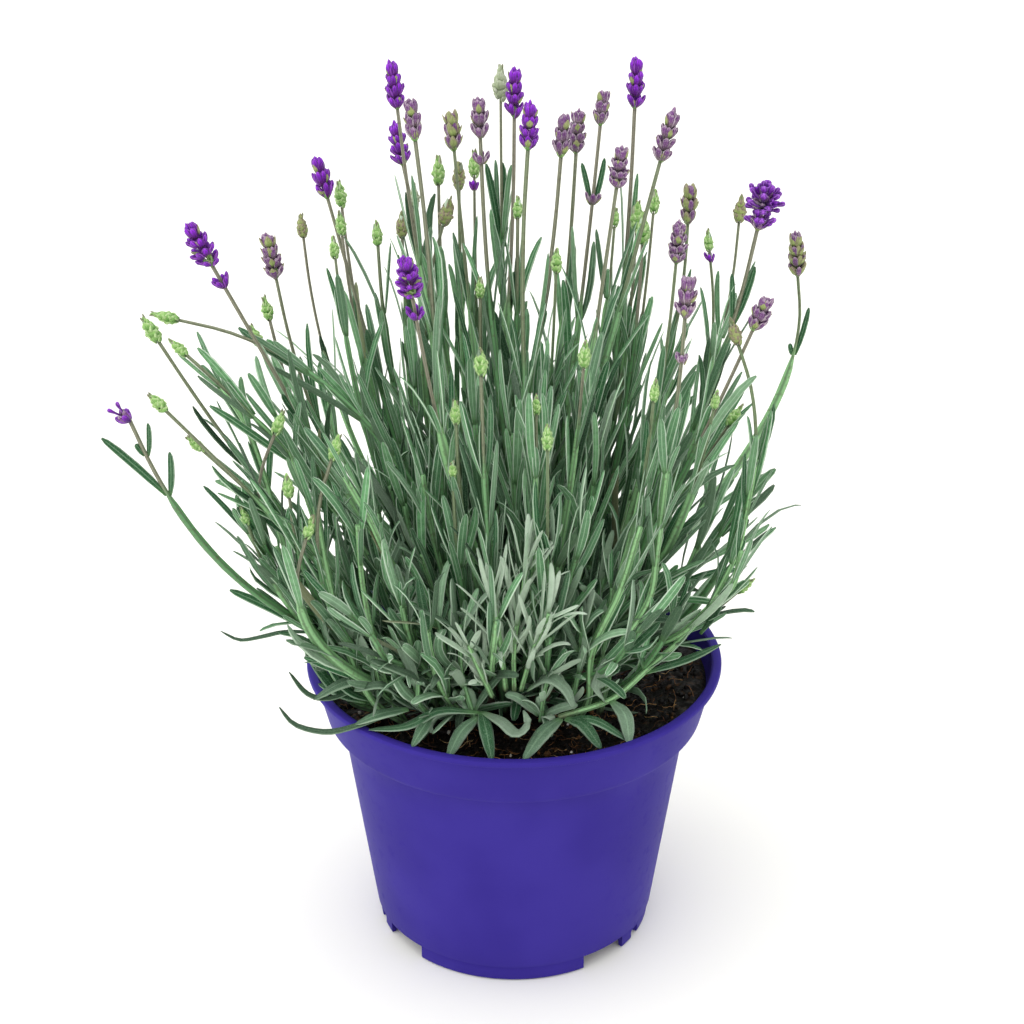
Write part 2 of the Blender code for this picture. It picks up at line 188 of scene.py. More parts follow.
# %% Small helpers for materials
class Finish:
    """A material under construction: each call adds a node and gives back its output."""

    def __init__(self, name, roughness, sheen=0.0, specular=0.5):
        self.material = bpy.data.materials.new(name)
        self.material.use_nodes = True
        self.tree = self.material.node_tree
        self.shader = self.tree.nodes["Principled BSDF"].inputs
        self.feed(self.shader, {"Roughness": roughness, "Sheen Weight": sheen})
        self.feed(self.shader, {"Specular IOR Level": specular})
        self.colour = None

    def feed(self, sockets, values):
        """Links an output, or sets a constant, on each of these inputs."""
        for key, value in values.items():
            if isinstance(value, bpy.types.NodeSocket):
                self.tree.links.new(value, sockets[key])
            else:
                sockets[key].default_value = (*value, 1.0) if isinstance(value, tuple) else value

    def node(self, kind, values):
        made = self.tree.nodes.new("ShaderNode" + kind)
        self.feed(made.inputs, values)
        return made

    def channels(self, name):
        """The three channels of one of the plant's attributes."""
        read = self.node("Attribute", {})
        read.attribute_name = name
        return self.node("SeparateColor", {"Color": read.outputs["Color"]}).outputs[:3]

    def speckle(self, size, detail=3.0):
        """Noise whose blotches are about this size."""
        place = self.node("TexCoord", {}).outputs["Object"]
        return self.node("TexNoise", {"Scale": 1 / size, "Detail": detail, "Vector": place}).outputs["Fac"]

    def sum(self, kind, first, second=0.0, third=0.0):
        made = self.node("Math", {0: first, 1: second, 2: third})
        made.operation = kind
        return made.outputs[0]

    def between(self, value, low, high, start=0.0, end=1.0):
        """Maps low..high to start..end, with a soft step and no overshoot."""
        limits = {"From Min": low, "From Max": high, "To Min": start, "To Max": end}
        made = self.node("MapRange", {"Value": value, **limits})
        made.interpolation_type = "SMOOTHSTEP"
        return made.outputs["Result"]

    def off_middle(self, across):
        """How far a place is from the midrib: 0 on it, 0.5 at the margin."""
        return self.sum("ABSOLUTE", self.sum("SUBTRACT", across, 0.5))

    def mix(self, share, first, second):
        made = self.node("Mix", {})
        made.data_type = "RGBA"
        self.feed(made.inputs, {"Factor": share, 6: first, 7: second})
        return made.outputs[2]

    def tone(self, value, low, high, start, end, other):
        """Mixes another colour into the finish, by a share that follows the value."""
        self.colour = self.mix(self.between(value, low, high, start, end), self.colour, other)

    def ramp(self, value, stops):
        made = self.node("ValToRGB", {"Fac": value})
        band = made.color_ramp
        while len(band.elements) < len(stops):
            band.elements.new(0.5)
        for knot, (at, colour) in zip(band.elements, stops):
            knot.position = at
            knot.color = (*colour, 1.0)
        return made.outputs["Color"]

    def bump(self, height, depth, below=None):
        made = self.node("Bump", {"Strength": 1.0, "Distance": depth, "Height": height})
        if below:
            self.feed(made.inputs, {"Normal": below})
        self.feed(self.shader, {"Normal": made.outputs["Normal"]})
        return made.outputs["Normal"]

    def done(self, roughness=None):
        self.feed(self.shader, {"Base Color": self.colour})
        if roughness:
            self.feed(self.shader, {"Roughness": roughness})
        return self.material


# %% [markdown]
# ## The pot
# A nursery pot is blown or moulded from thin polypropylene: a tapered wall, a wider band under
# the lip for gripping and stacking, and a foot ring with notches that let water out. It could
# be a profile with a Screw modifier. Here the cap of a circle is extruded and resized instead,
# from the pad under the floor, out over the foot, up the wall, over the lip and back down the
# inside, because each bend is then one visible step. 144 sides keep the lip round up close.

# %% Model the pot
POT_SIDES = 144
WALL = 1.4
PAD_RADIUS = 20.0
LIP = 85.0
BAND_TOP = 82.4
BAND_FOOT = 77.6
BAND_HEIGHT = 23.0
BODY_TOP = 71.6
BODY_FOOT = 59.0
FOOT = 57.6
POT_TOP = pot_high.z / MM


def wall_rings(foot, top, low, high, count):
    """Rings up a straight wall, so that its shading and its baked finish stay even."""
    shares = [i / (count - 1) for i in range(count)]
    return [(foot + (top - foot) * s, low + (high - low) * s) for s in shares]


def pot_outline():
    band_foot = POT_TOP - BAND_HEIGHT
    under = [(PAD_RADIUS, 0.0), (PAD_RADIUS + 0.6, 0.3), (PAD_RADIUS + 5.4, 4.8), (PAD_RADIUS + 6.2, 5.0)]
    foot = [(FOOT - 2.8, 5.0), (FOOT - 2.6, 4.8), (FOOT - 2.2, 0.3), (FOOT - 1.9, 0.0), (FOOT - 0.8, 0.0)]
    foot += [(FOOT - 0.25, 0.2), (FOOT, 0.8), (FOOT, 6.4), (FOOT + 0.3, 6.9), (BODY_FOOT - 0.2, 7.2)]
    wall = wall_rings(BODY_FOOT, BODY_TOP, 7.8, band_foot - 1.6, 9)
    step = [(BODY_TOP + 0.5, band_foot - 0.7), (BODY_TOP + 1.4, band_foot - 0.2)]
    step += [(BAND_FOOT - 1.4, band_foot), (BAND_FOOT - 0.5, band_foot + 0.2), (BAND_FOOT, band_foot + 0.9)]
    band = wall_rings(BAND_FOOT + 0.3, BAND_TOP - 0.1, band_foot + 2.0, POT_TOP - 3.2, 5)
    lip = [(BAND_TOP + 0.3, POT_TOP - 2.8), (LIP - 0.7, POT_TOP - 2.7), (LIP - 0.15, POT_TOP - 2.3)]
    lip += [(LIP, POT_TOP - 1.7), (LIP, POT_TOP - 0.9), (LIP - 0.3, POT_TOP - 0.3), (LIP - 0.9, POT_TOP)]
    lip += [(BAND_TOP + 0.2, POT_TOP), (BAND_TOP - 0.7, POT_TOP - 0.2), (BAND_TOP - WALL, POT_TOP - 0.9)]
    inside = wall_rings(BAND_TOP - WALL - 0.2, BAND_FOOT - WALL, POT_TOP - 2.0, band_foot + 1.8, 4)
    inside += [(BODY_TOP - WALL + 0.6, band_foot + 0.5), (BODY_TOP - WALL, band_foot - 0.4)]
    inside += [(BODY_FOOT - WALL, 8.6), (BODY_FOOT - WALL - 1.8, 6.4), (PAD_RADIUS + 5.0, 6.4)]
    inside += [(PAD_RADIUS, WALL)]
    rows = under + foot + wall + step + band + lip + inside
    return [(radius * MM, height * MM) for radius, height in rows]


pot = turned_piece("nursery_pot", pot_outline(), POT_SIDES)
print("pot:", len(pot.data.polygons), "faces, lip", round(pot.dimensions.x * 1000, 1), "mm across")

# %% [markdown]
# The notches are blocks cut out of the foot ring. The four wide ones reach in under the edge
# of the floor, so water can leave; the four narrow ones only break the ring. One block is a
# cube that is added at its place and turned to its heading, and a Boolean takes all of them out.

# %% Cut the foot's notches
NOTCH_TURN = -6.0
WIDE = ((47, 22), (133, 22), (227, 22), (313, 22))
NARROW = ((68, 6), (112, 6), (248, 6), (292, 6))


def notch_block(heading, width, deep, top):
    start_clean()
    turn = math.radians(heading + NOTCH_TURN - 90)
    middle = (FOOT + 2 - deep / 2) * MM
    bpy.ops.mesh.primitive_cube_add(
        size=1,
        location=(middle * math.cos(turn), middle * math.sin(turn), (top - 2) / 2 * MM),
        rotation=(0, 0, turn),
    )
    block = bpy.context.object
    across = 2 * FOOT * math.sin(math.radians(width / 2))
    block.scale = ((deep + 4) * MM, across * MM, (top + 2) * MM)
    bpy.ops.object.transform_apply(location=True, rotation=True, scale=True)
    edit_all()
    bpy.ops.mesh.bevel(offset=0.9 * MM, segments=3)
    bpy.ops.object.mode_set(mode="OBJECT")
    return block


def cut(thing, blocks):
    start_clean()
    for block in blocks:
        block.select_set(True)
    bpy.context.view_layer.objects.active = blocks[0]
    bpy.ops.object.join()
    cutter = bpy.context.object
    saw = thing.modifiers.new("notches", "BOOLEAN")
    saw.operation = "DIFFERENCE"
    saw.solver = "EXACT"
    saw.object = cutter
    only(thing)
    bpy.ops.object.modifier_apply(modifier=saw.name)
    bpy.data.objects.remove(cutter, do_unlink=True)


blocks = [notch_block(heading, width, 8.5, 7.0) for heading, width in WIDE]
blocks += [notch_block(heading, width, 5.0, 4.0) for heading, width in NARROW]
cut(pot, blocks)
shade(pot, 30)
print("pot after the notches:", len(pot.data.polygons), "faces")

# %% [markdown]
# The plastic is a satin blue violet. Real moulded polypropylene is never quite even: there is
# a cloudy variation of a few centimetres, a very fine orange-peel texture that breaks up the
# highlight, and dust and scuffs that leave the foot and the band's edge a little rougher.

# %% Finish of the pot
VIOLET_PLASTIC = (0.036, 0.0225, 0.245)
VIOLET_PLASTIC_PALE = (0.044, 0.0285, 0.280)


def pot_finish():
    it = Finish("pot_plastic", 0.50, specular=0.05)
    it.colour = VIOLET_PLASTIC
    it.tone(it.speckle(0.045, 2.0), 0.35, 0.65, 0.0, 1.0, VIOLET_PLASTIC_PALE)
    scuff = it.between(it.speckle(0.004, 6.0), 0.52, 0.75)
    it.bump(it.speckle(0.0011, 3.0), 0.00004)
    return it.done(it.sum("MULTIPLY_ADD", scuff, 0.10, 0.46))


pot.data.materials.append(pot_finish())
hand_over(pot, "pot_plastic", "pot")

# %% [markdown]
# ## The soil
# Peat compost is nearly black when damp, and crumbly: lumps of a few millimetres, brown root
# and coir fibres, and a few white grains of perlite. The body is turned like the pot, as close
# inside it as the frame's root ball. Its top is a set of rings that noise lifts and lowers.
# The crumbs are one small faceted ball, copied many times, each squashed and turned its own way.

# %% Model the root ball
SOIL_SIDES = 120
SOIL_RINGS = 30
SOIL_EDGE = 79.0
GAP = 0.6
BANK = 9.5 * MM


def soil_outline():
    top = soil_high.z / MM
    band_foot = POT_TOP - BAND_HEIGHT
    side = [(PAD_RADIUS - GAP, WALL + 0.3), (PAD_RADIUS + 5 - GAP, 6.8), (BODY_FOOT - WALL - 2.6, 6.8)]
    side += [(BODY_FOOT - WALL - GAP, 9.2), (BODY_TOP - WALL - GAP, band_foot)]
    side += [(BAND_FOOT - WALL - GAP, band_foot + 2.3), (SOIL_EDGE - 1.6, top - 2.4)]
    rings = [(SOIL_EDGE - 1.6 - 75.0 * i / SOIL_RINGS, top - 1.2) for i in range(1, SOIL_RINGS + 1)]
    return [(radius * MM, height * MM) for radius, height in side + rings]


def lumpy(place, size):
    return noise.fractal(Vector(place) / size, 0.9, 2.1, 4)


def lumps(x, y):
    """Lumps of two sizes on the soil's top, in millimetres."""
    return 1.1 * lumpy((x, y, 0.0), 0.019) + 0.8 * lumpy((x, y, 0.5), 0.0055)


def bank(x, y):
    """The compost lies a little higher against the wall to the right."""
    edge = min(max((x / MM - 30.0) / 40.0, 0.0), 1.0)
    return BANK * edge * edge * (3 - 2 * edge)


root_ball = turned_piece("root_ball", soil_outline(), SOIL_SIDES)
for corner in root_ball.data.vertices:
    x, y, z = corner.co
    reach = math.hypot(x, y)
    if z > soil_high.z - 3 * MM:
        corner.co.z += bank(x, y)
    if z > soil_high.z - 3 * MM and reach > (SOIL_EDGE - 6) * MM:
        corner.co.xy *= 1 + 0.02 * bank(x, y) / BANK
    if z > soil_high.z - 1.5 * MM and reach < (SOIL_EDGE - 2.5) * MM:
        corner.co.z += (lumps(x, y) + 0.5) * MM
shade(root_ball, 60)
print("root ball:", len(root_ball.data.polygons), "faces")

# %% [markdown]
# ## Growing many copies
# A lavender has a couple of thousand leaves, and modelling each by hand would teach nothing. So
# one leaf, one stem, one flower bud and so on are modelled by hand as patterns. A Growth then
# collects bent and placed copies of patterns for one piece, and turns them into one mesh. The
# two attributes for the finishes are written at the same time.

# %% Patterns and growths
ROOM_OUTSIDE = 6 * MM  # how far a leaf may stand out of the frame's box
LOWEST_LEAF = 60 * MM


class Pattern:
    """A small modelled shape as arrays: corners, faces, and where each corner is on the piece."""

    def __init__(self, thing, across=None, side=None):
        mesh = thing.data
        self.points = np.array([corner.co for corner in mesh.vertices])
        self.faces = [tuple(face.vertices) for face in mesh.polygons]
        self.corners = np.array([index for face in self.faces for index in face])
        self.counts = np.array([len(face) for face in self.faces])
        x, y, z = self.points.T
        ring_half = np.array([np.abs(x[np.abs(z - height) < 1e-4]).max() for height in z])
        self.marks = np.zeros((len(x), 3))
        self.marks[:, 0] = 0.5 + 0.5 * x / np.maximum(ring_half, 1e-6) if across is None else across(x, y, z)
        self.marks[:, 1] = z / z.max()
        self.marks[:, 2] = (y > 0) if side is None else side(x, y, z)
        bpy.data.objects.remove(thing, do_unlink=True)


class Growth:
    """Copies of patterns that become one piece."""

    def __init__(self):
        self.parts = []

    def add(self, pattern, copies, finish, tints):
        """copies is (count, corners, 3) in metres, tints (count, 3), finish the material's number."""
        inside = np.all(
            (copies > np.array(cad_low) - ROOM_OUTSIDE) & (copies < np.array(cad_high) + ROOM_OUTSIDE),
            axis=(1, 2),
        )
        inside &= copies[:, :, 2].min(axis=1) > LOWEST_LEAF
        self.parts.append((pattern, copies[inside], finish, np.asarray(tints, float)[inside]))

    def become(self, name, slot, finishes, *nodes):
        """Makes the one mesh, and hands it over."""
        points, corners, counts, marks, tints, slots = [], [], [], [], [], []
        start = 0
        for pattern, copies, finish, tint in self.parts:
            count, size = len(copies), len(pattern.points)
            offsets = start + size * np.arange(count)
            points.append(copies.reshape(-1, 3))
            corners.append((pattern.corners[None, :] + offsets[:, None]).ravel())
            counts.append(np.tile(pattern.counts, count))
            marks.append(np.tile(pattern.marks, (count, 1)))
            tints.append(np.repeat(tint, size, axis=0))
            slots.append(np.full(count * len(pattern.counts), finish))
            start += count * size
        counts = np.concatenate(counts)
        mesh = bpy.data.meshes.new(name)
        mesh.vertices.add(start)
        mesh.vertices.foreach_set("co", np.concatenate(points).ravel())
        mesh.loops.add(int(counts.sum()))
        mesh.loops.foreach_set("vertex_index", np.concatenate(corners).astype(np.int32))
        mesh.polygons.add(len(counts))
        mesh.polygons.foreach_set("loop_start", np.concatenate([[0], counts.cumsum()[:-1]]).astype(np.int32))
        mesh.polygons.foreach_set("material_index", np.concatenate(slots).astype(np.int32))
        mesh.update(calc_edges=True)
        for title, rows in (("grow", marks), ("tint", tints)):
            layer = mesh.attributes.new(title, "FLOAT_COLOR", "POINT")
            colours = np.column_stack([np.concatenate(rows), np.ones(start)])
            layer.data.foreach_set("color", colours.ravel())
        mesh.shade_smooth()
        for finish in finishes:
            mesh.materials.append(finish)
        thing = bpy.data.objects.new(name, mesh)
        bpy.context.scene.collection.objects.link(thing)
        hand_over(thing, slot, *nodes)


# %% [markdown]
# A copy is laid along a bent middle line. It starts at its foot, leaning `spread` away from the
# stem's direction towards `out`; it turns further by `curl` along its length and by `hook` near
# its tip. `roll` turns it about its own line, and `sway` bows it sideways. The same function
# lays leaves, bracts, petals and buds.

# %% Lay copies along bent lines
BEND_STEPS = 24


def unit(vectors):
    return vectors / np.maximum(np.linalg.norm(vectors, axis=-1, keepdims=True), 1e-9)


def laid(pattern, foot, axis, out, length, width, spread, curl=0.0, hook=0.0, roll=0.0, sway=0.0):
    """Copies of a pattern, as (count, corners, 3). Angles are in degrees, lengths in metres."""
    foot = np.atleast_2d(foot)
    count = len(foot)
    axis = unit(np.broadcast_to(axis, (count, 3)))
    out = np.broadcast_to(out, (count, 3))
    out = unit(out - axis * (out * axis).sum(1, keepdims=True))
    length, width, spread, curl, hook, roll, sway = (
        np.broadcast_to(value, count).astype(float)[:, None]
        for value in (length, width, spread, curl, hook, roll, sway)
    )
    along = (np.arange(BEND_STEPS) + 0.5)[None, :] / BEND_STEPS
    angle = np.radians(spread + curl * along + hook * along**4)
    zero = np.zeros((count, 1))
    rise = np.hstack([zero, np.cumsum(np.cos(angle), axis=1) / BEND_STEPS])
    reach = np.hstack([zero, np.cumsum(np.sin(angle), axis=1) / BEND_STEPS])
    x, y, z = pattern.points.T
    at = np.clip(z, 0, 1)
    low = np.minimum((at * BEND_STEPS).astype(int), BEND_STEPS - 1)
    part = at * BEND_STEPS - low
    up = rise[:, low] * (1 - part) + rise[:, low + 1] * part
    away = reach[:, low] * (1 - part) + reach[:, low + 1] * part
    turn = np.radians(spread + curl * at + hook * at**4)[..., None]
    side = np.cross(axis, out)[:, None, :]
    axis, out = axis[:, None, :], out[:, None, :]
    face = np.sin(turn) * axis - np.cos(turn) * out
    spin = np.radians(roll)[..., None]
    across = np.cos(spin) * side + np.sin(spin) * face
    upper = -np.sin(spin) * side + np.cos(spin) * face
    middle = foot[:, None, :] + length[..., None] * (up[..., None] * axis + away[..., None] * out)
    middle = middle + (sway * length * at**2)[..., None] * side
    return middle + width[..., None] * (x[:, None] * across + y[:, None] * upper)


# %% [markdown]
# ## The leaf
# A lavender leaf is narrow and thick, with a groove over its midrib, a keel below, and margins
# that roll down. It could be a plane with Solidify, but then its rim would be square. So it is
# drawn out of an eight-cornered ring that is first flattened, and whose top corner is pushed
# down into the groove. Six extrusions give it its width, which is 50 faces for the whole leaf.

# %% Model the leaf
LEAF_OUTLINE = (
    (0.00, 0.50), (0.10, 0.66), (0.28, 0.92), (0.50, 1.00), (0.77, 0.94), (0.93, 0.70), (1.00, 0.26),
)


def ring_pattern(name, corners, flat, outline, groove=0.0, droop=0.0):
    """A closed strip drawn out of a flattened ring. The outline holds (height, width) pairs."""
    thing = disc(name, corners, 0.5)
    edit_all()
    squeeze(1, flat)
    top = 0.5 * flat
    pick(lambda co: abs(co.x) < 0.01 and co.y > 0)
    bpy.ops.transform.translate(value=(0, -groove * top, 0))
    pick(lambda co: abs(co.x) > 0.49)
    bpy.ops.transform.translate(value=(0, -droop * top, 0))
    bpy.ops.mesh.select_all(action="SELECT")
    first = outline[0][1]
    squeeze(first, first)
    raise_rings([(wide, height) for height, wide in outline])
    close_up()
    return thing


def finer(outline, rings):
    """The same outline with more, evenly spaced rings, for a leaf that bends strongly."""
    heights, widths = zip(*outline)
    steps = np.linspace(0, 1, rings)
    return [(float(step), float(np.interp(step, heights, widths))) for step in steps]


leaf = Pattern(ring_pattern("leaf", 8, 0.26, LEAF_OUTLINE, groove=0.9, droop=0.55))
bent_leaf = Pattern(ring_pattern("bent_leaf", 8, 0.24, finer(LEAF_OUTLINE, 15), groove=0.9, droop=0.55))
print("leaf pattern:", len(leaf.faces), "faces")

# %% [markdown]
# ## The stem
# A lavender stem is square with ribbed corners. The pattern is a straight rod of unit length
# whose eight-cornered ring has every second corner pushed in. Each copy is swept along its own
# route, thick at the foot and slender at the top.

# %% Model the stem and a thin fibre
STEM_STEPS = 32


def model_stem():
    thing = disc("stem", 8, 1.0)
    bpy.ops.object.mode_set(mode="EDIT")
    pick(lambda co: abs(co.x * co.y) < 0.01)
    squeeze(0.80, 0.80)
    bpy.ops.mesh.select_all(action="SELECT")
    for step in range(STEM_STEPS):
        extrude_to(1 / STEM_STEPS, 1.0, (step + 1) / STEM_STEPS)
    close_up()
    return thing


def rib(x, y, z):
    return (np.abs(x * y) > 0.01).astype(float)


stem = Pattern(model_stem(), across=lambda x, y, z: np.arctan2(y, x) / math.tau + 0.5, side=rib)
fibre = Pattern(turned_piece("fibre", [(1.0, i / 6) for i in range(7)], 4))
print("stem pattern:", len(stem.faces), "faces; fibre pattern:", len(fibre.faces))


# %% Sweep a pattern along a route
def read_off(at, steps, rows):
    """Rows of three numbers, read off between the steps."""
    return np.column_stack([np.interp(at, steps, rows[:, i]) for i in range(3)])


def evenly(line, count):
    """The same route, smoothed, with points at equal steps."""
    line = np.asarray(line, float)
    ends = np.vstack([2 * line[0] - line[1], line, 2 * line[-1] - line[-2]])
    fine = []
    for i in range(1, len(ends) - 2):
        before, start, end, after = ends[i - 1 : i + 3]
        for t in np.arange(8) / 8:
            slope_in, slope_out = (end - before) / 2, (after - start) / 2
            fine.append(
                (2 * t**3 - 3 * t**2 + 1) * start
                + (t**3 - 2 * t**2 + t) * slope_in
                + (3 * t**2 - 2 * t**3) * end
                + (t**3 - t**2) * slope_out
            )
    fine = np.array(fine + [line[-1]])
    walked = np.concatenate([[0], np.linalg.norm(np.diff(fine, axis=0), axis=1).cumsum()])
    return read_off(np.linspace(0, walked[-1], count), walked, fine)


def swept(pattern, line, radii, facing):
    """One copy of a rod or leaf along a route, its upper side facing this way, as (1, corners, 3)."""
    x, y, z = pattern.points.T
    shares = np.linspace(0, 1, len(line))
    middle = read_off(z, shares, line)
    slope = unit(read_off(z, shares, unit(np.gradient(line, axis=0))))
    side = unit(np.cross(facing, slope))
    other = np.cross(slope, side)
    radius = np.interp(z, np.linspace(0, 1, len(radii)), radii)[:, None]
    return (middle + radius * (x[:, None] * side + y[:, None] * other))[None]


def length_of(line):
    return np.linalg.norm(np.diff(line, axis=0), axis=1).sum()


# %% [markdown]
# ## Crumbs, fibres and grains on the soil
# One faceted ball makes every crumb and grain. They sit on the lumpy top, thickest where the
# soil shows, and the fibres lie over them in short loose arcs.

# %% Scatter the compost
CRUMBS = 1500
GRAINS = 40
FIBRES = 520
SOIL_SHOWN = (SOIL_EDGE - 4) * MM  # crumbs lie within this radius
UPWARDS = (0.0, 0.05, 1.0)
soil_dice = np.random.default_rng(11)


def model_crumb():
    start_clean()
    bpy.ops.mesh.primitive_ico_sphere_add(subdivisions=1, radius=0.5)
    bpy.ops.object.mode_set(mode="EDIT")
    pick(lambda co: co.z > 0.3 or co.x > 0.4)
    bpy.ops.transform.translate(value=(0.05, -0.1, -0.08))
    close_up()
    return bpy.context.object


def ground(x, y):
    """Height of the soil's lumpy top."""
    return soil_high.z + (lumps(x, y) - 0.7) * MM + bank(x, y)


def spots_on_soil(count):
    heading = soil_dice.uniform(0, math.tau, count)
    reach = SOIL_SHOWN * np.sqrt(soil_dice.uniform(0.02, 1, count))
    x, y = reach * np.cos(heading), reach * np.sin(heading)
    return np.column_stack([x, y, [ground(*each) for each in zip(x, y)]])


def scatter(name, sizes, finish):
    """Crumbs of these sizes, each squashed and turned at random, as one piece."""
    copies = []
    for spot, size in zip(spots_on_soil(len(sizes)), sizes):
        turn, _ = np.linalg.qr(soil_dice.normal(size=(3, 3)))
        turn[:, 0] *= np.sign(np.linalg.det(turn))
        squash = soil_dice.uniform(0.5, 1.2, 3) * size
        copies.append((crumb.points * squash) @ turn.T + spot + [0, 0, 0.15 * size])
    growth = Growth()
    growth.add(crumb, np.array(copies), 0, soil_dice.random((len(sizes), 3)))
    growth.become(name, "soil_peat", [finish])


def lay_fibres(name, finish):
    """Short arcs over the crumbs; one that would reach the wall is left out."""
    growth = Growth()
    for spot in spots_on_soil(FIBRES):
        heading = soil_dice.uniform(0, math.tau)
        reach = soil_dice.uniform(3, 10) * MM
        bow = soil_dice.normal(0, 0.45)
        share = np.linspace(-0.5, 0.5, 7)
        x = spot[0] + reach * (share * math.cos(heading) + bow * share**2 * math.sin(heading))
        y = spot[1] + reach * (share * math.sin(heading) - bow * share**2 * math.cos(heading))
        if (np.hypot(x, y) < (SOIL_EDGE - 3) * MM).all():
            z = [ground(*each) + soil_dice.uniform(0.2, 1.6) * MM for each in zip(x, y)]
            line = evenly(np.column_stack([x, y, z]), 7)
            thick = soil_dice.uniform(0.10, 0.22) * MM
            copy = swept(fibre, line, [thick, thick, 0.5 * thick], UPWARDS)
            growth.add(fibre, copy, 0, soil_dice.random((1, 3)))
    growth.become(name, "soil_peat", [finish])


# %% Finishes of the compost
PEAT = (
    (0.38, (0.0018, 0.0014, 0.0010)), (0.56, (0.006, 0.004, 0.003)), (0.74, (0.070, 0.034, 0.013))
)
COIR = (
    (0.0, (0.06, 0.022, 0.008)), (0.6, (0.24, 0.10, 0.03)),
    (0.8, (0.42, 0.20, 0.06)), (1.0, (0.68, 0.48, 0.24)),
)
PERLITE = ((0.3, (0.45, 0.38, 0.28)), (0.6, (0.80, 0.78, 0.72)))
BARK = ((0.3, (0.05, 0.035, 0.022)), (0.55, (0.16, 0.12, 0.085)), (0.75, (0.30, 0.26, 0.21)))


def peat_finish():
    it = Finish("damp_peat", 0.85, specular=0.28)
    chance, _, _ = it.channels("tint")
    it.colour = it.ramp(it.speckle(0.0028, 6.0), PEAT)
    it.tone(chance, 0.90, 0.97, 0.0, 0.75, (0.200, 0.090, 0.030))
    it.bump(it.speckle(0.0009, 5.0), 0.0005, it.bump(it.speckle(0.004, 4.0), 0.0012))
    return it.done(it.between(it.speckle(0.003, 3.0), 0.35, 0.65, 0.40, 0.95))


def fibre_finish():
    it = Finish("coir_fibre", 0.75)
    chance, _, _ = it.channels("tint")
    it.colour = it.ramp(chance, COIR)
    it.tone(it.speckle(0.0012), 0.4, 0.6, 0.0, 0.5, (0.05, 0.025, 0.012))
    it.bump(it.speckle(0.0004, 2.0), 0.0001)
    return it.done()


def grainy_finish(name, roughness, blotch, stops, grain, depth):
    """A colour that follows blotches, and a bump from a finer grain; both are (size, detail)."""
    it = Finish(name, roughness)
    it.colour = it.ramp(it.speckle(*blotch), stops)
    it.bump(it.speckle(*grain), depth)
    return it.done()


# %% Dress the soil
crumb = Pattern(model_crumb())
peat = peat_finish()
root_ball.data.materials.append(peat)
hand_over(root_ball, "soil_peat", "soil")
scatter("peat_crumbs", np.clip(soil_dice.lognormal(0.55, 0.45, CRUMBS), 0.8, 5.5) * MM, peat)
perlite = grainy_finish("perlite", 0.8, (0.0012, 3.0), PERLITE, (0.0005, 3.0), 0.0003)
scatter("perlite_grains", soil_dice.uniform(0.9, 2.4, GRAINS) * MM, perlite)
lay_fibres("coir_fibres", fibre_finish())

# %% [markdown]
# ## The woody crown
# Old lavender wood is grey brown and splits into long flakes. The frame's crown is a set of
# loose triangles, so a copy of it is merged, subdivided, and then roughened by moving each
# corner along its normal by stretched noise.


# %% Model the crown
def model_crown():
    thing = bpy.data.objects.new("old_wood", frame["nodes"]["woody_crown"].data.copy())
    bpy.context.scene.collection.objects.link(thing)
    only(thing)
    thing.data.materials.clear()
    edit_all()
    bpy.ops.mesh.remove_doubles(threshold=0.00002)
    bpy.ops.mesh.subdivide(number_cuts=2, smoothness=0.6)
    close_up()
    for corner in thing.data.vertices:
        x, y, z = corner.co
        flake = lumpy((x, y, 0.3 * z), 0.0035) + 0.5 * lumpy((x, y, z), 0.0015)
        corner.co += corner.normal * flake * 0.5 * MM
    shade(thing, 70)
    return thing


old_wood = model_crown()
bark = grainy_finish("grey_bark", 0.88, (0.003, 6.0), BARK, (0.001, 5.0), 0.0006)
old_wood.data.materials.append(bark)
hand_over(old_wood, "bark", "woody_crown")
print("crown:", len(old_wood.data.polygons), "faces")

# %% [markdown]
# ## Finish of the leaves
# The blade is a dark bluish green on young growth, and silvery sage on the old leaves by the
# base, where a felt of fine hairs covers it. The groove over the midrib and the rolled margins
# are pale lines, partly their own paler colour and partly a painted highlight, and the underside
# is paler all over. "tint" says how light this leaf is, how silvery, and how dry.

# %% Leaf finish
LEAF_GREENS = (
    (0.0, (0.005, 0.044, 0.013)), (0.45, (0.030, 0.150, 0.050)), (1.0, (0.170, 0.420, 0.180))
)
SILVER, SILVER_SHADE = (0.640, 0.770, 0.620), (0.360, 0.490, 0.350)


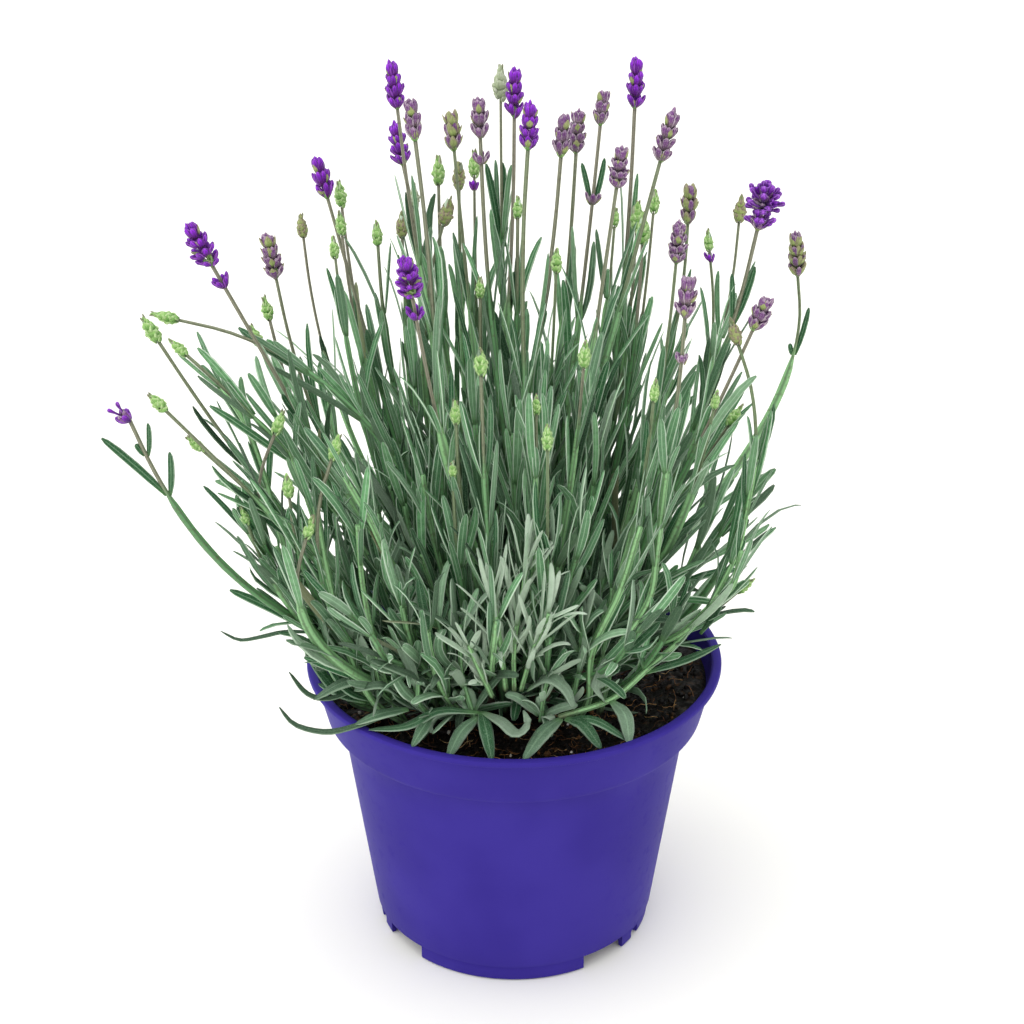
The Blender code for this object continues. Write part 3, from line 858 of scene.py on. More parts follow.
def leaf_finish():
    it = Finish("grey_green_leaf", 0.62, sheen=0.05, specular=0.25)
    across, along, side = it.channels("grow")
    chance, silver, dry = it.channels("tint")
    mottle = it.speckle(0.0022, 4.0)
    felt = it.speckle(0.00045, 2.0)
    it.colour = it.ramp(chance, LEAF_GREENS)
    it.tone(mottle, 0.35, 0.7, 0.0, 0.40, (0.012, 0.055, 0.018))
    silver = it.sum("POWER", silver, 1.4)
    pale = it.mix(it.between(mottle, 0.35, 0.7, 0.0, 0.30), SILVER, SILVER_SHADE)
    it.colour = it.mix(silver, it.colour, pale)
    it.tone(felt, 0.45, 0.75, 0.0, 0.20, (0.45, 0.60, 0.43))
    off_middle = it.off_middle(across)
    lit = it.between(chance, 0.05, 0.7, 0.12, 1.0)
    lively = it.sum("MULTIPLY", lit, it.between(silver, 0.0, 1.0, 1.0, 0.5))
    # Pale midrib and margin lines: partly the leaf's own paler colour, partly painted highlight.
    midrib = it.sum("MULTIPLY", lively, it.between(off_middle, 0.01, 0.09, 0.75, 0.0))
    margin = it.sum("MULTIPLY", lively, it.between(off_middle, 0.36, 0.46, 0.0, 1.0))
    it.colour = it.mix(midrib, it.colour, (0.42, 0.66, 0.42))
    it.colour = it.mix(margin, it.colour, (0.74, 0.90, 0.72))
    it.tone(side, 0.2, 0.8, 0.25, 0.0, (0.20, 0.34, 0.20))
    it.tone(along, 0.0, 0.20, 0.55, 0.0, (0.13, 0.30, 0.09))
    it.colour = it.mix(it.sum("MULTIPLY", dry, 0.6), it.colour, (0.30, 0.24, 0.12))
    veins = it.sum("SINE", it.sum("MULTIPLY", across, 38.0))
    it.bump(felt, 0.00012, it.bump(veins, 0.00004))
    return it.done(it.between(mottle, 0.3, 0.7, 0.52, 0.70))


leaf_green = leaf_finish()

# %% [markdown]
# ## Finish of the stems
# A stem is brownish at its foot and bright green as far as its last leaves. Above them the
# flower stalk is olive on some stems and a greyish mauve on others. The four ribs are paler
# than the grooves between them.

# %% Stem finish
STEM_GREENS = ((0.0, (0.10, 0.27, 0.10)), (0.5, (0.20, 0.42, 0.19)), (1.0, (0.33, 0.62, 0.28)))
OLIVE_STALK, MAUVE_STALK = (0.175, 0.275, 0.120), (0.275, 0.245, 0.190)


def stem_finish():
    it = Finish("ribbed_stem", 0.55, specular=0.4)
    _, along, side = it.channels("grow")
    chance, mauve, node = it.channels("tint")
    it.colour = it.ramp(chance, STEM_GREENS)
    it.tone(along, 0.0, 0.08, 0.8, 0.0, (0.10, 0.10, 0.05))
    past_node = it.sum("SUBTRACT", along, node)
    it.tone(past_node, -0.01, 0.06, 0.0, 1.0, it.mix(mauve, OLIVE_STALK, MAUVE_STALK))
    it.tone(side, 0.10, 0.60, 0.60, 0.0, (0.060, 0.095, 0.055))
    it.tone(it.speckle(0.0016, 4.0), 0.50, 0.72, 0.0, 0.45, (0.10, 0.08, 0.045))
    it.bump(it.speckle(0.0006, 3.0), 0.00012)
    return it.done()


stem_green = stem_finish()
GREENS = [stem_green, leaf_green]
STEM, LEAF = 0, 1  # their places in that list

# %% [markdown]
# ## Flower buds, bracts and open flowers
# A spike is a stack of whorls. Each flower in it is a ribbed, felted tube, the calyx, with the
# rounded violet tip of the petals inside it. Between the flowers sit small pointed bracts, olive
# with a brownish edge. All three are drawn out of rings, like the leaf: the bud is round with
# every second corner pushed in, the bract is a short cupped leaf, and the open flower flares.

# %% Model the flower patterns
BUD_OUTLINE = (
    (0.00, 0.34), (0.18, 0.66), (0.40, 0.94), (0.60, 1.00), (0.78, 0.86), (0.91, 0.56), (1.00, 0.14),
)
BRACT_OUTLINE = ((0.00, 0.50), (0.28, 0.96), (0.55, 0.88), (0.82, 0.46), (1.00, 0.08))
CLUB_OUTLINE = (
    (0.00, 0.45), (0.30, 0.50), (0.55, 0.58), (0.74, 0.88), (0.88, 1.00), (0.97, 0.74), (1.00, 0.36),
)


def model_bud(outline):
    thing = ring_pattern("bud", 8, 0.72, outline)
    for corner in thing.data.vertices:
        x, y, z = corner.co
        if min(abs(x), abs(y)) < 0.01 and z < 0.7:
            corner.co.x *= 0.78
            corner.co.y *= 0.78
    return thing


def model_bract():
    thing = ring_pattern("bract", 6, 0.24, BRACT_OUTLINE)
    for corner in thing.data.vertices:
        corner.co.y += 0.9 * corner.co.x**2
    return thing


def model_open_flower():
    """A tube that flares into five notched lobes, with a hollow dark throat."""
    outline = [(0.12, 0.0), (0.15, 0.30), (0.18, 0.58), (0.30, 0.80), (0.50, 0.93), (0.49, 0.98)]
    outline += [(0.28, 0.88), (0.10, 0.66), (0.06, 0.45)]
    thing = turned_piece("open_flower", outline, 20)
    for corner in thing.data.vertices:
        reach = math.hypot(corner.co.x, corner.co.y)
        if reach > 0.4:
            lobe = abs(math.sin(2.5 * math.atan2(corner.co.y, corner.co.x)))
            corner.co.x *= 0.55 + 0.45 * lobe**0.5
            corner.co.y *= 0.55 + 0.45 * lobe**0.5
            corner.co.z += 0.05 * math.sin(5 * corner.co.x + 9 * corner.co.y)
    return thing


def ribbed(x, y, z):
    return (np.minimum(abs(x), abs(y)) > 0.02).astype(float)


bud = Pattern(model_bud(BUD_OUTLINE), side=ribbed)
club = Pattern(model_bud(CLUB_OUTLINE), side=ribbed)
bract = Pattern(model_bract())
open_flower = Pattern(model_open_flower(), across=lambda x, y, z: 0.5 + 0.0 * x)
print("bud:", len(bud.faces), "bract:", len(bract.faces), "open flower:", len(open_flower.faces), "faces")

# %% [markdown]
# The three spike finishes share one recipe: colour runs along each bud from its felted foot to
# its tip, dark in the grooves and pale on the ribs, which is painted shade. Each bud is also
# painted darker on its two sides, where it meets its neighbours, and a painted highlight lightens
# its outer edges. Young spikes are greyish purple, ripe ones bright violet, and the open flowers
# a deep blue violet with a nearly black throat.


# %% Petal finishes
# groove is the colour of a painted shade, and of a random darkening; rim is the colour of a painted
# highlight.
def petal_finish(name, stops, groove, rim, felt_colour, felt_share):
    it = Finish(name, 0.55, sheen=0.08, specular=0.3)
    across, along, side = it.channels("grow")
    chance, _, _ = it.channels("tint")
    wobble = it.sum("ADD", along, it.between(it.speckle(0.0015, 3.0), 0.2, 0.8, -0.12, 0.12))
    it.colour = it.ramp(wobble, stops)
    # Painted shade in the grooves between the ribs.
    it.tone(side, 0.1, 0.9, 0.45, 0.0, groove)
    it.tone(chance, 0.0, 1.0, 0.0, 0.30, groove)
    # Painted shade on each bud's two sides, towards its neighbours, then a painted highlight along its outer
    # edges.
    off_middle = it.off_middle(across)
    it.tone(off_middle, 0.26, 0.42, 0.0, 0.85, groove)
    it.tone(off_middle, 0.42, 0.49, 0.0, 0.60, rim)
    felt = it.speckle(0.0005, 2.0)
    it.tone(felt, 0.5, 0.75, 0.0, felt_share, felt_colour)
    it.bump(felt, 0.00015)
    return it.done()


def bract_finish(name, base, middle, tip, edge):
    it = Finish(name, 0.6, sheen=0.1, specular=0.35)
    across, along, _ = it.channels("grow")
    chance, _, _ = it.channels("tint")
    it.colour = it.ramp(along, [(0.0, base), (0.45, middle), (1.0, tip)])
    off_middle = it.off_middle(across)
    it.tone(off_middle, 0.30, 0.50, 0.0, 0.75, edge)
    it.tone(off_middle, 0.02, 0.10, 0.35, 0.0, base)
    it.tone(it.speckle(0.0009, 3.0), 0.4, 0.7, 0.0, 0.35, base)
    it.tone(chance, 0.0, 1.0, 0.0, 0.3, tip)
    it.bump(it.speckle(0.0005, 2.0), 0.00012)
    return it.done()


violet = petal_finish(
    "violet_petals",
    (
        (0.0, (0.13, 0.06, 0.07)), (0.25, (0.14, 0.008, 0.20)), (0.60, (0.22, 0.004, 0.52)),
        (0.85, (0.34, 0.014, 0.82)), (1.0, (0.46, 0.07, 0.90)),
    ),
    (0.034, 0.001, 0.075), (0.49, 0.12, 0.80), (0.55, 0.20, 0.80), 0.12,
)
grey_purple = petal_finish(
    "grey_purple_calyx",
    (
        (0.0, (0.22, 0.25, 0.10)), (0.30, (0.30, 0.21, 0.25)), (0.58, (0.32, 0.15, 0.36)),
        (0.80, (0.20, 0.050, 0.26)), (1.0, (0.58, 0.42, 0.56)),
    ),
    (0.050, 0.012, 0.060), (0.80, 0.66, 0.76), (0.66, 0.56, 0.62), 0.34,
)
deep_violet = petal_finish(
    "open_petals",
    (
        (0.0, (0.05, 0.02, 0.08)), (0.40, (0.09, 0.006, 0.20)), (0.65, (0.20, 0.010, 0.44)),
        (0.90, (0.33, 0.028, 0.70)), (1.0, (0.48, 0.12, 0.84)),
    ),
    (0.040, 0.002, 0.10), (0.40, 0.12, 0.70), (0.55, 0.28, 0.78), 0.20,
)
olive = bract_finish(
    "olive_bract", (0.14, 0.22, 0.045), (0.34, 0.43, 0.14), (0.33, 0.31, 0.17), (0.24, 0.13, 0.17)
)
fresh_green = bract_finish(
    "green_bract", (0.045, 0.16, 0.022), (0.22, 0.46, 0.11), (0.38, 0.60, 0.20), (0.58, 0.74, 0.38)
)

# %% [markdown]
# ## Where a stem runs
# The frame's flower stems are tubes of eleven six-cornered rings, so the middle line of one is
# read back from its mesh, ring by ring, from the foot up. A leafy shoot carries leaves in the
# same mesh, so only its foot is read as a ring; above that the middles of a few slices of it
# serve, because its leaves stand in opposite pairs.


# %% Read the routes of the frame's stems
def corners_of(node):
    places = [corner.co[:] for corner in frame["nodes"][node].data.vertices]
    corners = np.unique(np.round(places, 5), axis=0)
    return corners[np.argsort(corners[:, 2])]


def stem_line(node):
    left = corners_of(node)
    line = [left[:6].mean(axis=0)]
    left = left[6:]
    while len(left) >= 6:
        near = np.argsort(np.linalg.norm(left - line[-1], axis=1))[:6]
        line.append(left[near].mean(axis=0))
        left = np.delete(left, near, axis=0)
    return np.array(line)


def shoot_line(node):
    corners = corners_of(node)
    foot = corners[:6].mean(axis=0)
    heights = np.linspace(foot[2], corners[-1, 2], 7)
    line = [foot]
    for low, high in zip(heights[1:-1], heights[2:]):
        layer = corners[(corners[:, 2] >= low) & (corners[:, 2] <= high)]
        line.append(layer.mean(axis=0))
    return np.array(line)


def grown_line(foot, tip, lean):
    """A route for a stem that the frame leaves out: it fans out low down and ends at this lean."""
    foot, tip = np.asarray(foot, float), np.asarray(tip, float)
    out = np.append(tip[:2] - foot[:2], 0.0)
    chord = math.degrees(math.atan2(np.linalg.norm(out), tip[2] - foot[2]))
    reach = np.linalg.norm(tip - foot)
    low = leaning(out, min(max(2 * chord - lean, 0), 68))
    high = leaning(out, lean)
    t = np.linspace(0, 1, 12)[:, None]
    inner, outer = foot + low * 0.36 * reach, tip - high * 0.36 * reach
    return (1 - t) ** 3 * foot + 3 * (1 - t) ** 2 * t * inner + 3 * (1 - t) * t**2 * outer + t**3 * tip


def leaning(outwards, degrees):
    flat = unit(np.array([outwards[0], outwards[1], 0.0]))
    return flat * math.sin(math.radians(degrees)) + np.array([0, 0, math.cos(math.radians(degrees))])


# %% [markdown]
# ## Leaves on a stem
# Lavender leaves stand in opposite pairs, and each pair is turned a quarter from the one below.
# In the angle between leaf and stem sits a tuft of younger, smaller leaves. High up the pairs
# are far apart, narrow, dark green and nearly upright. Low down they are close together, broad,
# silvery and spread wide, and their tips often hook.

# %% Grow the leaves of one stem
LEAF_TURN = math.radians(90)
# Below this share the leaves are also painted darker as shade, more so the lower they sit.
LOW_SHARE = 0.36  # below this share of the plant's height leaves are broad, silvery and loose
YOUNG = 0.7  # marks the small leaves in a tuft
DEAD_CHANCE = 0.007


def sides_of(axis):
    """Two directions at right angles to each axis, the first of them roughly level."""
    side = unit(np.cross(axis, [0.12, 1.0, 0.08]))
    return side, np.cross(axis, side)


def leaf_rows(line, dice, start, end, step, tuft):
    """One row for each leaf: its share of the route, heading, size, and 1 or YOUNG."""
    count = max(2, round((end - start) * length_of(line) / (step * MM)))
    turn = dice.uniform(0, math.tau)
    rows = []
    for k in range(count):
        share = start + (end - start) * (k + dice.uniform(-0.25, 0.25)) / (count - 1)
        share = min(max(share, 0.0), 1.0)
        turn += LEAF_TURN + dice.normal(0, 0.25)
        size = 0.72 + 0.38 * math.sin(math.pi * (k + 0.6) / (count + 0.2))
        young = round(tuft * (1.0 - 0.6 * share))
        for half in (0, math.pi):
            heading = turn + half + dice.normal(0, 0.2)
            rows.append((share, heading, size * dice.uniform(0.85, 1.12), 1.0))
            for _ in range(dice.integers(0, young + 1)):
                heading = turn + half + dice.normal(0, 0.6)
                rows.append((share, heading, size * dice.uniform(0.35, 0.80), YOUNG))
    return np.array(rows)


def add_leaves(
    growth, line, dice, start, end, step, long, wide, tuft, spread, silver=0.0, blade=None, loose=6.0
):
    """Pairs of leaves between two shares of the route, with tufts in their angles. Step, long
    and wide are in mm. A leaf of a loose shoot bends and spreads more, most of all low down."""
    blade = blade or leaf
    line = evenly(line, 60)
    slopes = unit(np.gradient(line, axis=0))
    rows = leaf_rows(line, dice, start, end, step, tuft)
    at = rows[:, 0] * (len(line) - 1)
    low = np.minimum(at.astype(int), len(line) - 2)
    foot = line[low] + (line[low + 1] - line[low]) * (at - low)[:, None]
    axis = slopes[low]
    side, other = sides_of(axis)
    out = side * np.cos(rows[:, 1:2]) + other * np.sin(rows[:, 1:2])
    count = len(rows)
    main = rows[:, 3] > YOUNG
    height = (foot[:, 2] - soil_high.z) / plant_height
    low_down = np.clip(1.0 - height / LOW_SHARE, 0, 1)
    angle = (spread + loose * low_down) * np.where(main, 1.0, 0.65) * dice.uniform(0.5, 1.5, count)
    curl = np.where(main, 0, -4) + dice.normal(-3, 12, count) * (1 + loose / 14 * low_down)
    curl = curl + loose * low_down
    hook = dice.normal(10, 32, count) * (0.3 + loose / 8 * low_down)
    length = long * MM * rows[:, 2] * (1 - 0.15 * low_down)
    width = wide * MM * (0.85 + 0.25 * low_down) * dice.uniform(0.75, 1.30, count)
    width = width * np.where(main, 1, 0.85)
    # Painted shade: the first channel, the leaf's lightness, is lowered for leaves low in the bush, to stand
    # for the shade deep inside it.
    tints = np.column_stack([
        np.clip(dice.normal(0.62, 0.32, count) - 0.38 * low_down, 0, 1),
        np.clip(silver + 0.08 * low_down + dice.normal(0.03, 0.16, count), 0, 1),
        np.where(dice.random(count) < DEAD_CHANCE, dice.random(count), 0.0),
    ])
    copies = laid(
        blade, foot + out * 0.9 * MM, axis, out, length, width, angle, curl, hook,
        dice.normal(0, 22 + loose, count), dice.normal(0, 0.06, count),
    )
    growth.add(blade, copies, LEAF, tints)


def add_pair(growth, line, share, lengths, wide, spread):
    """One pair of leaves, left and right of the stem, twisted to face the front. Sizes are in mm."""
    line = evenly(line, 60)
    at = int(share * 59)
    axis = unit(line[min(at + 1, 59)] - line[at - 1])
    out = np.array([[-1.0, 0, 0], [1.0, 0, 0]])
    long = np.array(lengths) * MM
    foot = line[at] + out * 0.6 * MM
    copies = laid(leaf, foot, axis, out, long, wide * MM, spread, [8, -10], roll=[-62, 62])
    growth.add(leaf, copies, LEAF, [[0.3, 0.0, 0.0]] * 2)


def add_stem(growth, line, thick, dice, node, stalk=0.80, mauve=0.5, pale=0.0):
    """A stem that is stout and green up to its last leaves, and a slender stalk above them. Its
    radii are in mm, and pale is the least lightness of its green."""
    line = evenly(line, 80)
    shares = np.linspace(0, 1, 41)
    leafy = thick * MM * (1 - 0.22 * shares / node)
    bare = stalk * MM * (1.12 - 0.2 * shares)
    radii = np.where(shares < node, leafy, bare) * (1 + 0.03 * dice.normal(size=41))
    heading = dice.uniform(0, math.tau)
    copy = swept(stem, line, radii, (math.sin(heading), math.cos(heading), 0.2))
    growth.add(stem, copy, STEM, [[max(pale, dice.random()), mauve, node]])


# %% [markdown]
# ## The 24 flower stems
# Each takes its route from the frame. The lower part carries leaves, and the upper part is the
# bare stalk of the flowers. The share where the leaves end is named for the stems that stand
# clear of the bush, where it shows. Every third stem is a stout, pale green one.

# %% Grow the flower stems
FLOWER_STEMS = 24
SMALL_SPIKE = 1  # low on the left, with one tuft of buds and two horns
LEAFY_TO = {1: 0.24, 2: 0.58, 15: 0.62, 22: 0.72, 23: 0.42, 24: 0.64}
GREEN_TO = {1: 0.80, 23: 0.80}  # these stay stout above their leaves
BOWED = {1: (-12.0, 0.0, -9.0)}  # how far its middle hangs from the frame's route, in mm
HIGH_PAIRS = {
    # share of the stem, lengths and width in mm, spreads in degrees, left then right
    1: ((0.83, (34, 21), 3.0, (13, 30)), (0.92, (6, 15), 2.4, (8, 26))),
    15: ((0.86, (17, 19), 2.6, (14, 12)),),
    22: ((0.80, (20, 24), 2.8, (12, 8)),),
    23: ((0.82, (5, 21), 2.6, (22, 7)),),
}
stem_dice = np.random.default_rng(23)
routes = {}
for i in range(1, FLOWER_STEMS + 1):
    node = f"flower_stem_{i:02d}"
    routes[i] = stem_line(node)
    if i in BOWED:
        share = np.linspace(0, 1, len(routes[i]))[:, None]
        routes[i] = routes[i] + 4 * share * (1 - share) * np.array(BOWED[i]) * MM
    growth = Growth()
    leafy_to = LEAFY_TO.get(i, stem_dice.uniform(0.56, 0.72))
    green_to = GREEN_TO.get(i, leafy_to + 0.02)
    thick, pale = (2.7, 0.85) if i % 3 == 2 else (1.9, 0.0)
    mauve = stem_dice.uniform(0.3, 1.0)
    add_stem(growth, routes[i], thick, stem_dice, green_to, stalk=0.85, mauve=mauve, pale=pale)
    long = 24 if i == SMALL_SPIKE else 43
    add_leaves(
        growth, routes[i], stem_dice, 0.08, leafy_to, step=24, long=long, wide=3.6, tuft=2, spread=12
    )
    for pair in HIGH_PAIRS.get(i, ()):
        add_pair(growth, routes[i], *pair)
    growth.become(f"flowering_stem_{i:02d}", "stem_green", GREENS, node)
print("flower stems:", len(routes))

# %% [markdown]
# ## The spikes
# A whorl has eight flowers, in two groups of four, each group over a bract, and the lowest
# whorl has six. The next whorl is turned a quarter. The lowest flowers lean out most, and the
# last few stand up in a small crown. Length and width come from the frame's own spike.


# %% Read the frame's spikes, and lay rings round a line
def spike_frame(node, line):
    """Foot and direction of the frame's spike, and its length and half width in mm."""
    corners = corners_of(node)
    along = unit(line[-1] - line[-2])
    foot = line[-1]
    reach = (corners - foot) @ along
    off = np.linalg.norm(corners - foot - reach[:, None] * along, axis=1)
    return foot, along, reach.max() / MM, off.max() / MM


class Head:
    """A flower head in the making: rings of copies round a line that starts at its foot."""

    def __init__(self, growth, foot, along, dice):
        self.growth, self.foot, self.along, self.dice = growth, foot, along, dice

    def ring(self, pattern, finish, up, turns, long, wide, lean, curl, off):
        """Copies this far up the line, with these headings, and this far off it. Sizes are in mm,
        and angles in degrees."""
        dice, along, count = self.dice, self.along, len(turns)
        side, other = sides_of(along)
        turns = np.radians(np.asarray(turns, float) + dice.normal(0, 4, count))
        out = side * np.cos(turns)[:, None] + other * np.sin(turns)[:, None]
        up = up + dice.normal(0, 0.25, (count, 1))
        copies = laid(
            pattern, self.foot + (out * off + along * up) * MM, along, out,
            long * MM * dice.uniform(0.9, 1.1, count), wide * MM * dice.uniform(0.9, 1.1, count),
            lean + dice.normal(0, 4, count), curl,
        )
        self.growth.add(pattern, copies, finish, dice.random((count, 3)))


# %% Shape one spike
PAIR = np.array([0, 180])
CROSS = np.array([0, 90, 180, 270])
LOWEST_TURNS = np.array([-54, 0, 54, 126, 180, 234])
FLOWER_TURNS = np.array([-64, -22, 22, 64, 112, 158, 202, 248])
TALL = 17.0  # mm; a longer spike has four whorls, and a shorter one three
MORE_BRACTS, OLIVE_FLOWERS = 0.7, 0.8  # what these shares of olive bring
PETAL, OLIVE, GREEN, DEEP, GREY = range(5)  # places in a spike's list of finishes


def build_spike(head, length, half, olive_share):
    """A spike in line with its stem: a green cup, the whorls, and a crown of upright buds."""
    tiers = 4 if length > TALL else 3
    length *= 0.94
    step = 0.60 * length / (tiers - 1)
    long, wide = 1.42 * step, 2.8
    heading = 90 + head.dice.normal(0, 18)
    head.ring(bract, GREEN, 0, CROSS, 3.8, 3.2, 34, -26, 0.6)
    for k in range(tiers):
        share = k / (tiers - 1)
        up = 0.5 + k * step
        reach = half * (1.02 + 0.20 * math.sin(math.pi * (share + 0.12)) - 0.40 * share)
        lean = math.degrees(math.asin(min(0.8, max(0.12, (reach - 2.0) / long)))) + 10
        turns = heading + (FLOWER_TURNS if k else LOWEST_TURNS)
        head.ring(bud, PETAL, up, turns[0::2], long, wide, lean, -16, 0.9)
        other = OLIVE if olive_share > OLIVE_FLOWERS else PETAL
        head.ring(bud, other, up, turns[1::2], long, wide, lean, -16, 0.9)
        size = 3.4 + 1.2 * olive_share
        turns = heading + (PAIR if olive_share < MORE_BRACTS else CROSS)
        head.ring(bract, OLIVE, up + 1, turns, 1.05 * size, 0.85 * size, lean + 4, -16, 1.9)
        heading += 90
    top = 0.64 * length
    head.ring(bud, PETAL, top, heading + 45 + CROSS, 0.30 * length, wide, 13, -14, 0.8)
    head.ring(bud, PETAL, top, [60], 0.36 * length, 2.3, 2, 0, 0.1)


OPEN_TIERS = (
    # share of the head's length, clubs, lean in degrees, reach as a share of its half width
    (0.04, 5, 50, 0.72), (0.12, 5, 66, 0.80), (0.18, 3, 30, 0.66), (0.44, 5, 92, 0.72),
    (0.50, 7, 78, 0.86), (0.58, 7, 56, 0.92), (0.64, 6, 34, 0.86), (0.70, 3, 12, 0.66),
)


def open_head(head, length, half):
    """The head in full flower: clubs that stand away from each other, and a few flared flowers."""
    dice = head.dice
    head.ring(bract, OLIVE, 0, CROSS, 4, 3, 34, -20, 0.6)
    for share, count, lean, reach in OPEN_TIERS:
        turns = dice.uniform(0, 360) + 360 * np.arange(count) / count + dice.normal(0, 11, count)
        long = reach * half * dice.uniform(0.85, 1.08, count)
        head.ring(club, DEEP, share * length, turns, long, 3.1, lean, -14, 0.8)
        head.ring(bud, GREY, share * length, turns + 25, 4.2, 2.4, lean * 0.8, 0, 0.8)
    for share, lean in ((0.52, 72), (0.60, 40)):
        turns = dice.uniform(0, 360) + PAIR
        head.ring(open_flower, DEEP, share * length, turns, 0.74 * half, 3.6, lean, -10, 0.5)


def small_spike(head, length):
    """A leaning tuft of young buds with two long horns."""
    head.along = unit(head.along + np.array([-0.45, 0.0, -0.1]))
    head.ring(bud, DEEP, 0, 20 + CROSS, 0.45 * length, 3.2, 26, -14, 0.8)
    head.ring(bud, PETAL, 0, 65 + CROSS, 0.50 * length, 2.8, 14, -8, 0.6)
    head.ring(club, DEEP, 0.25 * length, PAIR - 12, 0.62 * length, 1.9, 24, 6, 0.5)


def loose_whorl(head, route, below, size):
    """A small whorl on the stalk, this far below the spike."""
    line = evenly(route, 200)
    walked = np.linalg.norm(np.diff(line, axis=0), axis=1)[::-1].cumsum()
    head.foot = line[-2 - int(np.searchsorted(walked, below * MM))]
    lean = 40 * size
    head.ring(bud, PETAL, 0, [-25, 25, 90, 155, 205, 270], 5.4 * size, 2.4, lean - 6, -10, 0.8)
    head.ring(bract, OLIVE, 0, PAIR, 3.6 * size, 3.0 * size, lean, -10, 1.2)


# %% Build the spikes
SPIKE_SLOTS = {"petal_violet": violet, "calyx_grey_purple": grey_purple, "petal_open": deep_violet}
LOOSE_WHORLS = {2: 9.5, 5: 9.0, 10: 9.5, 15: 31.0, 21: 17.0}  # mm below the spike
SMALL_WHORL = 21
VIOLET_OLIVE = 0.1
OLIVE_SHARE = {3: 0.8, 9: 0.9, 16: 0.2, 20: 0.2, 19: 0.9, 21: 0.5, 23: 1.0, 24: 0.6}
slots = {row["node"]: row["material_slot"] for row in frame["record"]["subparts"]}
spike_dice = np.random.default_rng(31)
for i, route in routes.items():
    node = f"flower_spike_{i:02d}"
    slot = slots[node]
    foot, along, length, half = spike_frame(node, route)
    growth = Growth()
    head = Head(growth, foot, along, spike_dice)
    if slot == "petal_open":
        open_head(head, length, half)
    elif i == SMALL_SPIKE:
        small_spike(head, length)
    else:
        olive_share = VIOLET_OLIVE if slot == "petal_violet" else OLIVE_SHARE.get(i, 0.4)
        build_spike(head, length, half, olive_share)
    if i in LOOSE_WHORLS:
        loose_whorl(head, route, LOOSE_WHORLS[i], 0.7 if i == SMALL_WHORL else 1.0)
    finishes = [SPIKE_SLOTS[slot], olive, fresh_green, deep_violet, grey_purple]
    growth.become(f"spike_{i:02d}", slot, finishes, node)
print("spikes:", FLOWER_STEMS)

# %% [markdown]
# ## The leafy shoots
# The frame's nine shoots stand for the outer ones, which carry leaves to the very tip.

# %% Grow the frame's leafy shoots
LEAFY_SHOOTS = 9
PULLED_IN = {1: 0.90, 5: 0.90, 6: 0.90}  # shares of the reach of the widest ones
ALL_GREEN = 1.1  # a stem whose last leaves are past its tip has no bare stalk
shoot_dice = np.random.default_rng(47)


def leafy_shoot(
    growth, line, dice, long=36, wide=3.5, step=13, thick=1.5, spread=16, silver=0.05,
    blade=None, loose=8, start=0.12, end=0.99, pale=0.0,
):
    """A stem with leaves up to its tip. Long, wide, step and thick are in mm."""
    add_stem(growth, line, thick, dice, ALL_GREEN, stalk=thick, mauve=0.1, pale=pale)
    add_leaves(growth, line, dice, start, end, step, long, wide, 2, spread, silver, blade, loose)


for i in range(1, LEAFY_SHOOTS + 1):
    node = f"leafy_shoot_{i}"
    line = shoot_line(node)[:-1]
    line[:, 0] *= np.linspace(1, PULLED_IN.get(i, 1), len(line))
    growth = Growth()
    leafy_shoot(growth, line, shoot_dice, long=31, spread=9 if i in PULLED_IN else 14, end=0.96)
    growth.become(f"leafy_branch_{i}", "leaf_grey_green", GREENS, node)

# %% [markdown]
# ## Stems in green bud
# More than forty stems carry a head that is still a green, scaly bud. The frame leaves them out,
# because each is only a few millimetres across. A head is a short stack of overlapping bracts
# with two brown tips on top. The places are shares of the frame, in thousandths: x and y of its
# half width, and the height above the soil of the plant's. A bud with no colour named is green.

# %% Places of the green buds
GREEN_BUDS = (
    # x, y, height, lean, length in mm, colour
    (-930, -530, 610, 38, 10), (-1000, -150, 635, 27, 12), (-950, -80, 655, 80, 11),
    (-900, -300, 645, 42, 9), (-850, -450, 530, 40, 9), (-720, 150, 610, 10, 10),
    (-730, 0, 595, 22, 10), (-640, 450, 690, 4, 10, "olive"), (-520, 450, 740, 8, 11),
    (-510, 300, 720, 6, 10), (-520, 150, 710, 4, 9), (-410, 380, 690, 2, 10),
    (-340, 450, 690, 2, 11, "olive"), (-300, 450, 740, 2, 10, "pale"), (-230, 530, 765, 0, 12),
    (-170, 600, 745, 0, 12, "olive"), (-210, 300, 737, -24, 13, "olive"), (-120, 450, 790, 0, 11),
    (-40, 450, 913, 2, 14, "pale"), (10, 230, 760, 2, 9), (-100, 150, 645, 0, 9),
    (-90, -450, 645, 2, 11), (120, 80, 700, 2, 10), (-160, -380, 555, 2, 10), (300, 380, 720, 4, 8),
    (370, 450, 700, 2, 13), (380, 300, 705, 2, 13), (420, 450, 730, 6, 10), (580, 300, 695, -10, 9),
    (680, 450, 715, 2, 12, "olive"), (630, -150, 630, -24, 11, "olive"), (620, -80, 485, 30, 10),
    (560, -230, 545, 8, 8), (380, -380, 590, 4, 9), (190, -300, 625, 4, 11), (-620, -450, 455, 2, 10),
    (-570, -530, 410, -30, 9), (-500, -450, 515, -30, 10), (-670, -300, 520, -30, 10),
    (90, -450, 530, -12, 10), (-750, -380, 395, 14, 8), (690, 80, 155, 46, 9), (60, -380, 570, 0, 8),
    (-170, -400, 475, 2, 7),
)
PURPLE_BELOW = {18: 5.5, 29: 4.5}  # a small whorl this many mm below the bud
SHORT_LEAVED = 42
PALE_STEM = 19  # it carries a pair of long leaves high up, closed round it

# %% Build the green buds
BUD_RINGS = (0.26, 0.36, 0.42, 0.43, 0.40, 0.34, 0.26, 0.18)  # shares of its length
SCALE, HORN, WHORL = 2, 3, 4  # places in its list of finishes, after the stem's and the leaf's


